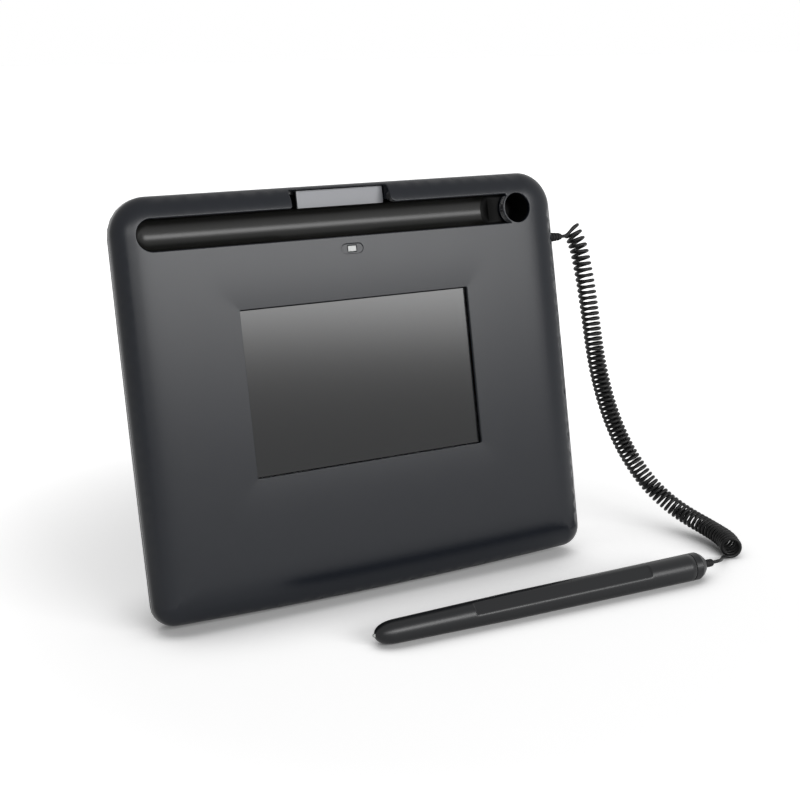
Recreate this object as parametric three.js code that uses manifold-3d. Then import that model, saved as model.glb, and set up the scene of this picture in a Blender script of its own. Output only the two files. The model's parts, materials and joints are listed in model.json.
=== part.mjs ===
// Signature pad with a fold-out stand and a pen on a curly cord. Millimetres, +Z up.
// The pad leans back on its stand and faces -Y; X runs along its width.
// The origin is on the floor, under the middle of the rubber strip that the pad stands on.
import * as THREE from 'three';
import { mergeVertices } from 'three/addons/utils/BufferGeometryUtils.js';
import Module from 'manifold-3d';

const wasm = await Module();
wasm.setup();

// Clearances and unit values
const GAP = 0.3;
const OVERRUN = 1;
const DEGREE = Math.PI / 180;

// Pad as a whole. In its own frame the pad lies on its back: x to the right,
// y up the face and z out of the face, from the middle of the back.
const PAD_WIDTH = 211;
const PAD_HEIGHT = 177;
const PAD_DEPTH = 21;
const REAR_DEPTH = 10.5;
const CORNER_RADIUS = 16;
const BASE_CORNER_RADIUS = 9;
const LEAST_RADIUS = 3;
const BASE_BOW = 2;
const SIDE_BOW = 0.4;
const WALL = 2.4;
const LEAN = 77.9 * DEGREE;

// Rounded rim of the front cover, and the slight crown inside it
const SKIRT_HEIGHT = 3;
const RIM_WIDTH = 11;
const CROWN_HEIGHT = 0.5;
const CROWN_WIDTH = 11;
const BACK_EDGE_WIDTH = 5.5;
const BACK_EDGE_HEIGHT = 6;
const BACK_EDGE_SIDE_SHARE = 0.4;
const SIDE_TAPER_SHARE = 0.6;
const REAR_FLOOR = 2.2;

// Window, the dish around it, and the display stack behind it
const WINDOW_WIDTH = 109.7;
const WINDOW_HEIGHT = 70.5;
const WINDOW_X = -1.2;
const WINDOW_DROP = 49.55;
const DISH_DEPTH = 0.45;
const DISH_WIDTH = 19;
const WINDOW_LIP = 1.7;
const GLASS_MARGIN = 3;
const GLASS_THICKNESS = 1.8;
const GLASS_RISE = 1.3;
const GASKET_THICKNESS = 0.8;
const GASKET_WIDTH = 2.2;
const PANEL_THICKNESS = 2.6;
const SENSOR_THICKNESS = 1;
const SHIELD_THICKNESS = 0.5;
const FRAME_WIDTH = 4;

// Pen tray, the pen holder beside it, and the plate in the finger notch above it
const TRAY_DROP = 16.1;
const TRAY_RADIUS = 6.6;
const TRAY_LEFT = 96.1;
const TRAY_WALL = 1.2;
const TRAY_ROOF = 2;
const TRAY_END = 71.5;
const LEDGE_DEPTH = 2.7;
const CUP_X = 84.2;
const CUP_RADIUS = 6.7;
const CUP_WALL = 1;
const CUP_SINK = 0.9;
const CUP_LIFT = 2;
const NOTCH_X = -3.5;
const NOTCH_WIDTH = 47;
const NOTCH_BACK = 1.5;
const NOTCH_FLOOR = 1.4;
const PLATE_X = -1.15;
const PLATE_WIDTH = 41.2;
const PLATE_DROP = 7.4;
const PLATE_OVERLAP = 0.5;
const PLATE_THICKNESS = 1.2;

// Status light
const LIGHT_X = -1.5;
const LIGHT_DROP = 28.2;
const LIGHT_POCKET_LENGTH = 10.7;
const LIGHT_POCKET_WIDTH = 4.6;
const LIGHT_POCKET_DEPTH = 0.7;
const LENS_LENGTH = 3.8;
const LENS_WIDTH = 2.3;
const LED_LENGTH = 3.2;
const LED_WIDTH = 1.8;
const LED_HEIGHT = 1.4;
const LED_BOARD_LENGTH = 18;
const LED_BOARD_WIDTH = 7.4;

// Boards, connectors and wiring
const BOARD_THICKNESS = 1.6;
const BOARD_STANDOFF = 0.6;
const BOARD_LEFT = 38;
const BOARD_WIDTH = 44;
const BOARD_BASE_RISE = 24.5;
const BOARD_TOP_DROP = 44.5;
const BOARD_TAB_WIDTH = 12.5;
const BOARD_TAB_RISE = 15;
const BOARD_TAB_HEIGHT = 26;
const BOARD_POST_RADIUS = 2.5;
const BOARD_POST_INSET = 4;
const CHIP_SIZE = 14;
const CHIP_HEIGHT = 1.4;
const CHIP_SPACE = 5;
const SOCKET_LENGTH = 9;
const SOCKET_WIDTH = 7.7;
const SOCKET_HEIGHT = 3.6;
const SOCKET_SHELL = 0.5;
const SOCKET_DEPTH = 6;
const SOCKET_SINK = 4.5;
const SOCKET_MARGIN = 0.6;
const RIBBON_WIDTH = 28;
const RIBBON_THICKNESS = 0.3;
const RIBBON_REACH = 6;
const RIBBON_SOCKET_WIDTH = 5;
const RIBBON_SOCKET_HEIGHT = 2.2;
const LEAD_PLUG_LENGTH = 8;
const LEAD_PLUG_WIDTH = 5;
const LEAD_PLUG_HEIGHT = 3.6;
const LEAD_PLUG_DROP = 52.5;

// Fasteners and feet
const SCREW_X = 88;
const SCREW_TOP_DROP = 34.5;
const SCREW_BASE_RISE = 16.5;
const SCREW_RADIUS = 1.3;
const SCREW_HEAD_RADIUS = 2.8;
const SCREW_HEAD_HEIGHT = 1.8;
const SCREW_HEAD_SINK = 1;
const SCREW_BITE = 6;
const SCREW_DRIVE_RADIUS = 1.3;
const SCREW_DRIVE_DEPTH = 1;
const BOSS_RADIUS = 4;
const FOOT_X = 60;
const FOOT_EDGE = 17.5;
const FOOT_RADIUS = 7;
const FOOT_HEIGHT = 2;
const FOOT_SINK = 0.9;
const STRIP_LENGTH = 96;
const STRIP_WIDTH = 5;
const STRIP_THICKNESS = 2;
const STRIP_PROUD = 0.8;
const STRIP_DEPTH = 4.6;
const BASE_WALL = 6;

// Stand: a leg hinged near the top of the back, and the recess that it folds into
const STAND_OPENING = 17 * DEGREE;
const HINGE_DROP = 29.5;
const HINGE_DEPTH = 3;
const LEG_WIDTH = 60;
const LEG_END_WIDTH = 46;
const LEG_THICKNESS = 4;
const LEG_CORNER = 6;
const KNUCKLE_RADIUS = 2.7;
const PIN_RADIUS = 1.5;
const PIN_LENGTH = 13;
const PIN_BITE = 5;
const RECESS_DEPTH = 6;
const RECESS_MARGIN = 1.2;
const RECESS_HEAD = 7;
const RECESS_WALL = 1.6;
const HINGE_BOSS_WIDTH = 7;
const HINGE_BOSS_HEIGHT = 8;
const LEG_TIP_LENGTH = 5;
const LEG_TIP_WIDTH = 40;
const LEG_RIB_WIDTH = 1.6;
const LEG_RIB_INSET = 7;
const LEG_POCKET_DEPTH = 1.4;

// Gland and curly cord. The route is the middle line of the coil, from the gland
// down to the floor beside the pen's butt.
const GLAND_DROP = 30.7;
const GLAND_LENGTH = 8;
const GLAND_RADIUS = 2;
const GLAND_TIP_RADIUS = 1.5;
const GLAND_FLANGE_RADIUS = 2.9;
const GLAND_FLANGE_THICKNESS = 1.5;
const GLAND_RIBS = 3;
const GLAND_RIB_DEPTH = 0.25;
const CORD_DIAMETER = 1.6;
const COIL_RADIUS = 3.75;
const CURL_COUNT = 79.5;
const CURL_STEPS = 8;
const CORD_SIDES = 5;
const START_TURN = 0.25;
const TOP_CURLS = 22;
const TOP_OPEN_SHARE = 0.27;
const END_CURLS = 8;
const END_OPEN_SHARE = 0.14;
const END_SWELL_SHARE = 0.14;
const FAN_CURLS = 6;
const FAN_LEAN = 0.3;
const LEAD_STEPS = 8;
const COIL_ROUTE = [
  [122.7, 29.8, 147.4], [123.5, 28.5, 144.6], [124.1, 27.5, 142.3], [124.7, 26.5, 139.6],
  [125.1, 25.6, 136.8], [125.6, 24.8, 133.5], [126.2, 23.9, 129], [127.4, 22.8, 121.4],
  [128.6, 21.8, 112.7], [129.8, 20.9, 103.8], [130.9, 20, 95], [132.2, 19.1, 86.3],
  [133.9, 18.2, 77.6], [136, 17.2, 68.9], [138.4, 15.9, 60.4], [141.2, 14.4, 52.1],
  [144.3, 12.4, 44], [147.8, 9.9, 36.2], [151.5, 6.5, 28.8], [155.3, 2.1, 22],
  [159.1, -3.5, 16.3], [162.6, -10.4, 11.8], [165.4, -18.3, 8.8], [167.2, -26.8, 7],
  [167.2, -35.7, 6.1], [165.4, -44.4, 5.7], [161.5, -52.3, 5.3],
];

// Pen, from its tip along its own x axis. It lies on the floor in front of the pad.
const PEN_TIP = [-30.5, -58.6];
const PEN_YAW = -1.7 * DEGREE;
const PEN_ROLL = 43 * DEGREE;
const PEN_LENGTH = 165;
const NOSE_LENGTH = 8;
const NOSE_TIP_RADIUS = 2.2;
const GRIP_RADIUS = 5;
const WAIST_LENGTH = 65;
const WAIST_RADIUS = 5.85;
const BUTT_RADIUS = 6.2;
const CAP_LENGTH = 7.5;
const CAP_CHAMFER_LENGTH = 4;
const CAP_MIDDLE_RADIUS = 5.2;
const CAP_TIP_RADIUS = 3.4;
const BARREL_WALL = 1.6;
const SPIGOT_LENGTH = 4;
const FLAT_START = 45;
const FLAT_LENGTH = 88;
const FLAT_CUT = 0.75;
const NIB_RADIUS = 0.8;
const NIB_PROUD = 0.9;
const NIB_LENGTH = 24;
const NIB_TRAVEL = 0.4;
const COIL_CORE_RADIUS = 2.6;
const COIL_CORE_START = 12;
const SENSOR_CAN_LENGTH = 9;
const SENSOR_CAN_RADIUS = 3.6;
const PEN_BOARD_LENGTH = 58;
const PEN_BOARD_WIDTH = 6.4;
const PEN_BOARD_THICKNESS = 1;
const RELIEF_LENGTH = 5.6;
const RELIEF_RADIUS = 1.8;
const RELIEF_TIP_RADIUS = 1.1;
const RELIEF_PLUG_LENGTH = 3;
const RELIEF_PLUG_RADIUS = 2.4;

// How finely round things are cut into flats
const CORNER_STEPS = 6;
const SIDE_STEPS = 4;
const RIM_STEPS = 6;
const BACK_EDGE_STEPS = 3;
const ROUND_SIDES = 16;
const SMALL_SIDES = 12;
const TRAY_SIDES = 24;
const HOLE_SIDES = 28;
const PEN_SIDES = 20;

// Places on the pad's face, measured from its middle
const topEdge = PAD_HEIGHT / 2;
const trayRise = topEdge - TRAY_DROP;
const lightRise = topEdge - LIGHT_DROP;
const glandRise = topEdge - GLAND_DROP;
const hingeRise = topEdge - HINGE_DROP;
const footRise = topEdge - FOOT_EDGE;
const boardLowEdge = BOARD_BASE_RISE - topEdge;
const windowRise = topEdge - WINDOW_DROP - WINDOW_HEIGHT / 2;
const boardHeight = PAD_HEIGHT - BOARD_BASE_RISE - BOARD_TOP_DROP;
const chipLow = windowRise - RIBBON_WIDTH / 2 - OVERRUN - CHIP_SPACE - CHIP_SIZE;
const leadPlugRise = topEdge - LEAD_PLUG_DROP;
const middleScrewRise = (SCREW_BASE_RISE - SCREW_TOP_DROP) / 2;
const boardTabLow = middleScrewRise + BOARD_TAB_RISE;
const screwRises = [topEdge - SCREW_TOP_DROP, middleScrewRise, SCREW_BASE_RISE - topEdge];

// Heights in the pad's own frame that several pieces share
const roofUnder = PAD_DEPTH - DISH_DEPTH - WINDOW_LIP;
const gasketTop = roofUnder - GAP;
const glassTop = gasketTop - GASKET_THICKNESS - GAP;
const panelTop = glassTop - GLASS_THICKNESS - GAP;
const sensorTop = panelTop - PANEL_THICKNESS - GAP;
const shieldTop = sensorTop - SENSOR_THICKNESS - GAP;
const trayTop = PAD_DEPTH - TRAY_ROOF - GAP;
const cupTop = PAD_DEPTH - CUP_SINK;
const boardTop = REAR_FLOOR + BOARD_STANDOFF + GAP + BOARD_THICKNESS;

// Colours and finishes
const materials = {
  cover: new THREE.MeshStandardMaterial({ color: 0x2b2c30, roughness: 0.55, metalness: 0 }),
  rear: new THREE.MeshStandardMaterial({ color: 0x1c1d1f, roughness: 0.6, metalness: 0 }),
  glossy: new THREE.MeshStandardMaterial({ color: 0x0b0b0c, roughness: 0.2, metalness: 0 }),
  glass: new THREE.MeshStandardMaterial({ color: 0x1b1c1f, roughness: 0.08, metalness: 0 }),
  plate: new THREE.MeshStandardMaterial({ color: 0x8e9196, roughness: 0.45, metalness: 0.3 }),
  lens: new THREE.MeshStandardMaterial({ color: 0xdfe2e4, roughness: 0.3, metalness: 0 }),
  rubber: new THREE.MeshStandardMaterial({ color: 0x151516, roughness: 0.9, metalness: 0 }),
  steel: new THREE.MeshStandardMaterial({ color: 0xa8abb0, roughness: 0.35, metalness: 1 }),
  board: new THREE.MeshStandardMaterial({ color: 0x1f5a36, roughness: 0.6, metalness: 0 }),
  chip: new THREE.MeshStandardMaterial({ color: 0x17181a, roughness: 0.6, metalness: 0 }),
  frame: new THREE.MeshStandardMaterial({ color: 0xd8d8d4, roughness: 0.6, metalness: 0 }),
  panel: new THREE.MeshStandardMaterial({ color: 0x6f7a72, roughness: 0.3, metalness: 0 }),
  copper: new THREE.MeshStandardMaterial({ color: 0xb06a3a, roughness: 0.4, metalness: 1 }),
  pen: new THREE.MeshStandardMaterial({ color: 0x202124, roughness: 0.4, metalness: 0 }),
  cord: new THREE.MeshStandardMaterial({ color: 0x141415, roughness: 0.6, metalness: 0 }),
};

// Turns a closed geometry into a solid that can be joined and cut.
function solid(geometry) {
  const bare = geometry.clone();
  bare.deleteAttribute('normal');
  bare.deleteAttribute('uv');
  const merged = mergeVertices(bare);
  return new wasm.Manifold(new wasm.Mesh({
    numProp: 3,
    vertProperties: new Float32Array(merged.attributes.position.array),
    triVerts: new Uint32Array(merged.index.array),
  }));
}

// Turns a solid back into a geometry.
function surface(body) {
  const mesh = body.getMesh();
  const geometry = new THREE.BufferGeometry();
  geometry.setAttribute('position', new THREE.BufferAttribute(mesh.vertProperties, mesh.numProp));
  geometry.setIndex(new THREE.BufferAttribute(mesh.triVerts, 1));
  geometry.computeVertexNormals();
  return geometry;
}

// A named mesh of a solid, placed in its group.
function addPiece(group, name, body, material) {
  const mesh = new THREE.Mesh(surface(body), material);
  mesh.name = name;
  group.add(mesh);
}

// A block between two corners.
function block(x0, x1, y0, y1, z0, z1) {
  const geometry = new THREE.BoxGeometry(x1 - x0, y1 - y0, z1 - z0);
  geometry.translate((x0 + x1) / 2, (y0 + y1) / 2, (z0 + z1) / 2);
  return solid(geometry);
}

// A round bar along z.
function barZ(radius, x, y, z0, z1, sides = SMALL_SIDES) {
  const geometry = new THREE.CylinderGeometry(radius, radius, z1 - z0, sides);
  geometry.rotateX(Math.PI / 2);
  geometry.translate(x, y, (z0 + z1) / 2);
  return solid(geometry);
}

// A round bar along x.
function barX(radius, x0, x1, y, z, sides = SMALL_SIDES) {
  const geometry = new THREE.CylinderGeometry(radius, radius, x1 - x0, sides);
  geometry.rotateZ(Math.PI / 2);
  geometry.translate((x0 + x1) / 2, y, z);
  return solid(geometry);
}

// A turned piece about the x axis from its outline of [x, radius] points.
function turnedX(outline, sides) {
  const points = outline.map(([x, radius]) => new THREE.Vector2(radius, x));
  const geometry = new THREE.LatheGeometry(points, sides);
  geometry.rotateZ(-Math.PI / 2);
  return solid(geometry);
}

// A prism of a flat outline of [x, y] points along z.
function prism(outline, z0, z1) {
  const shape = new THREE.Shape(outline.map(([x, y]) => new THREE.Vector2(x, y)));
  const geometry = new THREE.ExtrudeGeometry(shape, { depth: z1 - z0, bevelEnabled: false, steps: 1 });
  geometry.translate(0, 0, z0);
  return solid(geometry);
}

// A slot outline: two half circles joined by straight sides.
function slotOutline(x0, x1, y, radius, steps) {
  const points = [];
  for (let i = 0; i <= steps; i += 1) {
    const angle = -Math.PI / 2 + (i / steps) * Math.PI;
    points.push([x1 - radius + radius * Math.cos(angle), y + radius * Math.sin(angle)]);
  }
  for (let i = 0; i <= steps; i += 1) {
    const angle = Math.PI / 2 + (i / steps) * Math.PI;
    points.push([x0 + radius + radius * Math.cos(angle), y + radius * Math.sin(angle)]);
  }
  return points;
}

// A rectangle with round corners, as [x, y] points that run anticlockwise.
function roundedRectangle(width, height, radius, cornerSteps, sideSteps, lowRadius = radius) {
  const corners = [[1, -1], [1, 1], [-1, 1], [-1, -1]];
  const arcs = corners.map(([sideX, sideY], corner) => {
    const bend = sideY < 0 ? lowRadius : radius;
    const centreX = sideX * (width / 2 - bend);
    const centreY = sideY * (height / 2 - bend);
    return Array.from({ length: cornerSteps + 1 }, (_, i) => {
      const angle = (corner - 1 + i / cornerSteps) * (Math.PI / 2);
      return [centreX + bend * Math.cos(angle), centreY + bend * Math.sin(angle)];
    });
  });
  return arcs.flatMap((arc, corner) => {
    const [fromX, fromY] = arc[cornerSteps];
    const [toX, toY] = arcs[(corner + 1) % corners.length][0];
    const side = Array.from({ length: sideSteps - 1 }, (_, i) => {
      const share = (i + 1) / sideSteps;
      return [fromX + (toX - fromX) * share, fromY + (toY - fromY) * share];
    });
    return [...arc, ...side];
  });
}

// The pad's outline from the front, drawn in from its edge. Its sides bow out slightly.
function padRing(inset, z, baseInset = inset) {
  const radius = Math.max(CORNER_RADIUS - inset, LEAST_RADIUS);
  const lowRadius = Math.max(BASE_CORNER_RADIUS - inset, LEAST_RADIUS);
  const width = PAD_WIDTH - 2 * inset;
  const height = PAD_HEIGHT - inset - baseInset;
  const raise = (baseInset - inset) / 2;
  const ring = roundedRectangle(width, height, radius, CORNER_STEPS, SIDE_STEPS, lowRadius);
  return ring.map(([x, flatY]) => {
    const y = flatY + raise;
    const across = (2 * x) / PAD_WIDTH;
    const up = (2 * y) / PAD_HEIGHT;
    const raised = y < 0 ? -BASE_BOW * across * across * up : 0;
    return [x - SIDE_BOW * up * up * across, y + raised, z];
  });
}

// A closed solid through a stack of rings with equal numbers of points.
function loft(rings) {
  const count = rings[0].length;
  const middle = (ring) => [0, 1, 2].map((k) => ring.reduce((sum, p) => sum + p[k], 0) / count);
  const last = rings.length - 1;
  const points = [...rings.flat(), middle(rings[0]), middle(rings[last])];
  const faces = [];
  for (let i = 0; i < count; i += 1) {
    const next = (i + 1) % count;
    for (let level = 0; level < last; level += 1) {
      const low = level * count;
      const high = low + count;
      faces.push(low + i, low + next, high + next, low + i, high + next, high + i);
    }
    faces.push(next, i, points.length - 2);
    faces.push(last * count + i, last * count + next, points.length - 1);
  }
  const geometry = new THREE.BufferGeometry();
  geometry.setAttribute('position', new THREE.Float32BufferAttribute(points.flat(), 3));
  geometry.setIndex(faces);
  return geometry;
}

// A round tube with flat ends along a line of points.
function tube(points, radius, sides) {
  const tangents = points.map((_, i) => {
    const before = points[Math.max(i - 1, 0)];
    const after = points[Math.min(i + 1, points.length - 1)];
    return after.clone().sub(before).normalize();
  });
  const upright = Math.abs(tangents[0].z) > Math.SQRT1_2;
  const seed = new THREE.Vector3(upright ? 1 : 0, 0, upright ? 0 : 1);
  let normal = seed.cross(tangents[0]).normalize();
  const rings = points.map((point, i) => {
    normal = normal.clone().addScaledVector(tangents[i], -normal.dot(tangents[i])).normalize();
    const side = tangents[i].clone().cross(normal);
    return Array.from({ length: sides }, (_, k) => {
      const angle = (k / sides) * 2 * Math.PI;
      const spot = point.clone();
      spot.addScaledVector(normal, radius * Math.cos(angle));
      spot.addScaledVector(side, radius * Math.sin(angle));
      return spot.toArray();
    });
  });
  return loft(rings);
}

// Frame of the pad: it leans back so far that its base strip lies flat on the floor.
const sinLean = Math.sin(LEAN);
const cosLean = Math.cos(LEAN);
const cornerReach = Math.hypot(sinLean * BACK_EDGE_WIDTH, cosLean * BACK_EDGE_HEIGHT);
const lowestDrop = sinLean * (PAD_HEIGHT / 2 - BACK_EDGE_WIDTH) - cosLean * BACK_EDGE_HEIGHT + cornerReach;
const floorDrop = lowestDrop + STRIP_PROUD;
const stripY = -(floorDrop + cosLean * STRIP_DEPTH) / sinLean;
const pad = new THREE.Group();
pad.rotation.x = LEAN;
pad.position.set(0, STRIP_DEPTH * sinLean - stripY * cosLean, floorDrop);
pad.updateMatrix();
const part = new THREE.Group();
part.add(pad);

// Places a solid given in the part's frame into the pad's own frame.
function intoPad(geometry) {
  return solid(geometry.clone().applyMatrix4(pad.matrix.clone().invert()));
}

const screwPlaces = screwRises.flatMap((rise) => [[-SCREW_X, rise], [SCREW_X, rise]]);
const notchLeft = NOTCH_X - NOTCH_WIDTH / 2;
const notchRight = NOTCH_X + NOTCH_WIDTH / 2;
const notchTop = PAD_HEIGHT / 2 - NOTCH_BACK;
const plateLow = trayRise + TRAY_RADIUS - PLATE_OVERLAP;
const plateTop = PAD_DEPTH - PLATE_DROP;
const plateUnder = plateTop - PLATE_THICKNESS;
const notchUnder = plateUnder - GAP;
const gap2 = 2 * GAP;

// Front cover: rounded rim, dished face with the window, slot for the tray, and bosses.
function frontCover() {
  const skirtTop = REAR_DEPTH + SKIRT_HEIGHT;
  const rimHeight = PAD_DEPTH - CROWN_HEIGHT - skirtTop;
  const rim = Array.from({ length: RIM_STEPS + 1 }, (_, i) => {
    const angle = (i / RIM_STEPS) * (Math.PI / 2);
    return padRing(RIM_WIDTH * (1 - Math.cos(angle)), skirtTop + rimHeight * Math.sin(angle));
  });
  const low = padRing(0, REAR_DEPTH + GAP / 2);
  const outer = loft([low, ...rim, padRing(RIM_WIDTH + CROWN_WIDTH, PAD_DEPTH)]);
  const shoulder = skirtTop + WALL;
  const cavity = loft([
    padRing(WALL, REAR_DEPTH - OVERRUN), padRing(WALL, shoulder),
    padRing(RIM_WIDTH - WALL, roofUnder),
  ]);
  const pocketRadius = TRAY_RADIUS + TRAY_WALL + GAP;
  const pocket = prism(
    slotOutline(-TRAY_LEFT - TRAY_WALL - GAP, CUP_X + pocketRadius, trayRise, pocketRadius, TRAY_SIDES / 2),
    REAR_DEPTH, PAD_DEPTH - TRAY_ROOF,
  );
  const slot = prism(
    slotOutline(-TRAY_LEFT, CUP_X + TRAY_RADIUS, trayRise, TRAY_RADIUS, TRAY_SIDES / 2),
    REAR_DEPTH, PAD_DEPTH + OVERRUN,
  );
  const cupHole = barZ(
    CUP_RADIUS + CUP_WALL + GAP, CUP_X, trayRise, REAR_DEPTH, PAD_DEPTH + OVERRUN, HOLE_SIDES,
  );
  const housingTop = PAD_HEIGHT / 2 - WALL / 2;
  const housing = block(
    notchLeft - NOTCH_FLOOR, notchRight + NOTCH_FLOOR, trayRise + pocketRadius - NOTCH_FLOOR, housingTop,
    notchUnder - NOTCH_FLOOR, roofUnder,
  );
  const notch = block(notchLeft, notchRight, trayRise, notchTop, notchUnder, PAD_DEPTH + OVERRUN);
  let body = solid(outer).subtract(solid(cavity)).add(housing.intersect(solid(outer)));
  for (const [x, y] of screwPlaces) {
    body = body.add(barZ(BOSS_RADIUS, x, y, REAR_DEPTH + GAP, roofUnder + GAP));
  }
  body = body.subtract(pocket).subtract(slot).subtract(cupHole).subtract(notch);
  body = body.subtract(dishCut()).subtract(lightCut());
  for (const [x, y] of screwPlaces) {
    body = body.subtract(barZ(SCREW_RADIUS + GAP, x, y, REAR_DEPTH, REAR_DEPTH + SCREW_BITE + GAP));
  }
  return body.subtract(glandHole());
}

// What the dish and the window take out of the face.
function dishCut() {
  const slope = DISH_WIDTH / DISH_DEPTH;
  const level = PAD_DEPTH - DISH_DEPTH;
  const rectangle = (grow, z) => [[1, -1], [1, 1], [-1, 1], [-1, -1]].map(([sideX, sideY]) => [
    WINDOW_X + sideX * (WINDOW_WIDTH / 2 + grow), windowRise + sideY * (WINDOW_HEIGHT / 2 + grow), z,
  ]);
  const dish = loft([rectangle(0, level), rectangle(DISH_WIDTH + slope * OVERRUN, PAD_DEPTH + OVERRUN)]);
  const window = loft([rectangle(0, roofUnder - OVERRUN), rectangle(0, level + GAP)]);
  return solid(dish).add(solid(window));
}

// The oval pocket and the lens opening of the status light.
function lightCut() {
  const half = LIGHT_POCKET_LENGTH / 2;
  const outline = slotOutline(
    LIGHT_X - half, LIGHT_X + half, lightRise, LIGHT_POCKET_WIDTH / 2, SMALL_SIDES / 2,
  );
  const pocket = prism(outline, PAD_DEPTH - LIGHT_POCKET_DEPTH, PAD_DEPTH + OVERRUN);
  const halfX = LENS_LENGTH / 2 + GAP;
  const halfY = LENS_WIDTH / 2 + GAP;
  const opening = block(
    LIGHT_X - halfX, LIGHT_X + halfX, lightRise - halfY, lightRise + halfY,
    roofUnder - OVERRUN, PAD_DEPTH + OVERRUN,
  );
  return pocket.add(opening);
}

// The hole that the cord gland sits in, half in each cover.
function glandHole() {
  return barX(GLAND_RADIUS + GAP, PAD_WIDTH / 2 - RIM_WIDTH, PAD_WIDTH / 2 + OVERRUN, glandRise, REAR_DEPTH);
}

// How far the rear cover's sides have come in at a height.
function sideTaper(rise) {
  return SIDE_TAPER_SHARE * (REAR_DEPTH - GAP / 2 - rise);
}

const slantWall = WALL * Math.hypot(1, SIDE_TAPER_SHARE);
const recessHalf = LEG_WIDTH / 2 + RECESS_MARGIN;
const recessHigh = hingeRise + RECESS_HEAD;
const pinInner = LEG_WIDTH / 2 - PIN_LENGTH + RECESS_MARGIN + PIN_BITE;
const pinOuter = pinInner + PIN_LENGTH;

// Rear cover: a shallow tray with the stand's recess, screw columns and seats for the feet.
// Its sides and top narrow towards the back, and its base stays straight for the strip.
function rearCover() {
  const top = REAR_DEPTH - GAP / 2;
  const edge = Array.from({ length: BACK_EDGE_STEPS + 1 }, (_, i) => {
    const angle = (1 - i / BACK_EDGE_STEPS) * (Math.PI / 2);
    const bend = BACK_EDGE_WIDTH * (1 - Math.cos(angle));
    const rise = BACK_EDGE_HEIGHT * (1 - Math.sin(angle));
    return padRing(BACK_EDGE_SIDE_SHARE * bend + sideTaper(rise), rise, bend);
  });
  const outer = solid(loft([...edge, padRing(sideTaper(top), top, 0)]));
  const hollow = solid(loft([
    padRing(slantWall + WALL / 2 + sideTaper(REAR_FLOOR), REAR_FLOOR, BACK_EDGE_WIDTH),
    padRing(slantWall + sideTaper(BACK_EDGE_HEIGHT), BACK_EDGE_HEIGHT, WALL),
    padRing(slantWall + sideTaper(REAR_DEPTH + OVERRUN), REAR_DEPTH + OVERRUN, WALL),
  ]));
  const aboveBase = block(
    -PAD_WIDTH / 2, PAD_WIDTH / 2, -PAD_HEIGHT / 2 + BASE_WALL, PAD_HEIGHT / 2, 0, REAR_DEPTH + OVERRUN,
  );
  let body = outer.subtract(hollow.intersect(aboveBase));
  const panHalf = recessHalf + RECESS_WALL;
  const pan = block(
    -panHalf, panHalf, -PAD_HEIGHT / 2 + BASE_WALL - GAP, recessHigh + RECESS_WALL,
    REAR_FLOOR / 2, RECESS_DEPTH + RECESS_WALL,
  );
  const hingeBoss = block(
    -recessHalf - HINGE_BOSS_WIDTH, recessHalf + HINGE_BOSS_WIDTH,
    hingeRise - HINGE_BOSS_HEIGHT / 2, hingeRise + HINGE_BOSS_HEIGHT / 2,
    REAR_FLOOR / 2, RECESS_DEPTH + RECESS_WALL,
  );
  body = body.add(pan).add(hingeBoss);
  for (const [x, y] of screwPlaces) {
    body = body.add(barZ(BOSS_RADIUS, x, y, REAR_FLOOR / 2, REAR_DEPTH - GAP));
  }
  for (const [x, y] of boardPosts()) {
    body = body.add(barZ(BOARD_POST_RADIUS, x, y, REAR_FLOOR / 2, REAR_FLOOR + BOARD_STANDOFF));
  }
  body = body.subtract(block(-recessHalf, recessHalf, -PAD_HEIGHT, recessHigh, -OVERRUN, RECESS_DEPTH));
  body = body.subtract(barX(
    PIN_RADIUS + GAP, -pinOuter - GAP, pinOuter + GAP, hingeRise, HINGE_DEPTH,
  ));
  for (const [x, y] of screwPlaces) {
    body = body.subtract(barZ(SCREW_RADIUS + GAP, x, y, 0, REAR_DEPTH));
    const seat = SCREW_HEAD_SINK + SCREW_HEAD_HEIGHT + GAP;
    body = body.subtract(barZ(SCREW_HEAD_RADIUS + GAP, x, y, -OVERRUN, seat));
  }
  for (const [x, y] of footPlaces()) {
    body = body.subtract(barZ(FOOT_RADIUS + GAP, x, y, -OVERRUN, FOOT_SINK, ROUND_SIDES));
  }
  const stripSeat = new THREE.BoxGeometry(STRIP_LENGTH + gap2, STRIP_WIDTH + gap2, STRIP_THICKNESS + gap2);
  stripSeat.translate(0, 0, STRIP_THICKNESS / 2);
  return body.subtract(intoPad(stripSeat)).subtract(glandHole()).subtract(socketHole());
}

// Where the main board's posts stand.
function boardPosts() {
  const low = boardLowEdge + BOARD_POST_INSET;
  const high = boardLowEdge + boardHeight - BOARD_POST_INSET;
  const left = BOARD_LEFT + BOARD_POST_INSET;
  const right = BOARD_LEFT + BOARD_WIDTH - BOARD_POST_INSET;
  return [[left, low], [right, low], [left, high], [right, high]];
}

// Where the round feet sit on the back.
function footPlaces() {
  return [[-FOOT_X, footRise], [FOOT_X, footRise], [-FOOT_X, -footRise], [FOOT_X, -footRise]];
}

const socketY = boardTabLow + BOARD_TAB_HEIGHT / 2;
const socketEnd = PAD_WIDTH / 2 - SOCKET_SINK;
const socketLow = boardTop + GAP;

// The opening in the rear cover's side for the data socket.
function socketHole() {
  const half = SOCKET_WIDTH / 2 + SOCKET_MARGIN;
  return block(
    PAD_WIDTH / 2 - RIM_WIDTH, PAD_WIDTH / 2 + OVERRUN, socketY - half, socketY + half,
    socketLow - SOCKET_MARGIN, socketLow + SOCKET_HEIGHT + SOCKET_MARGIN,
  );
}

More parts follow.
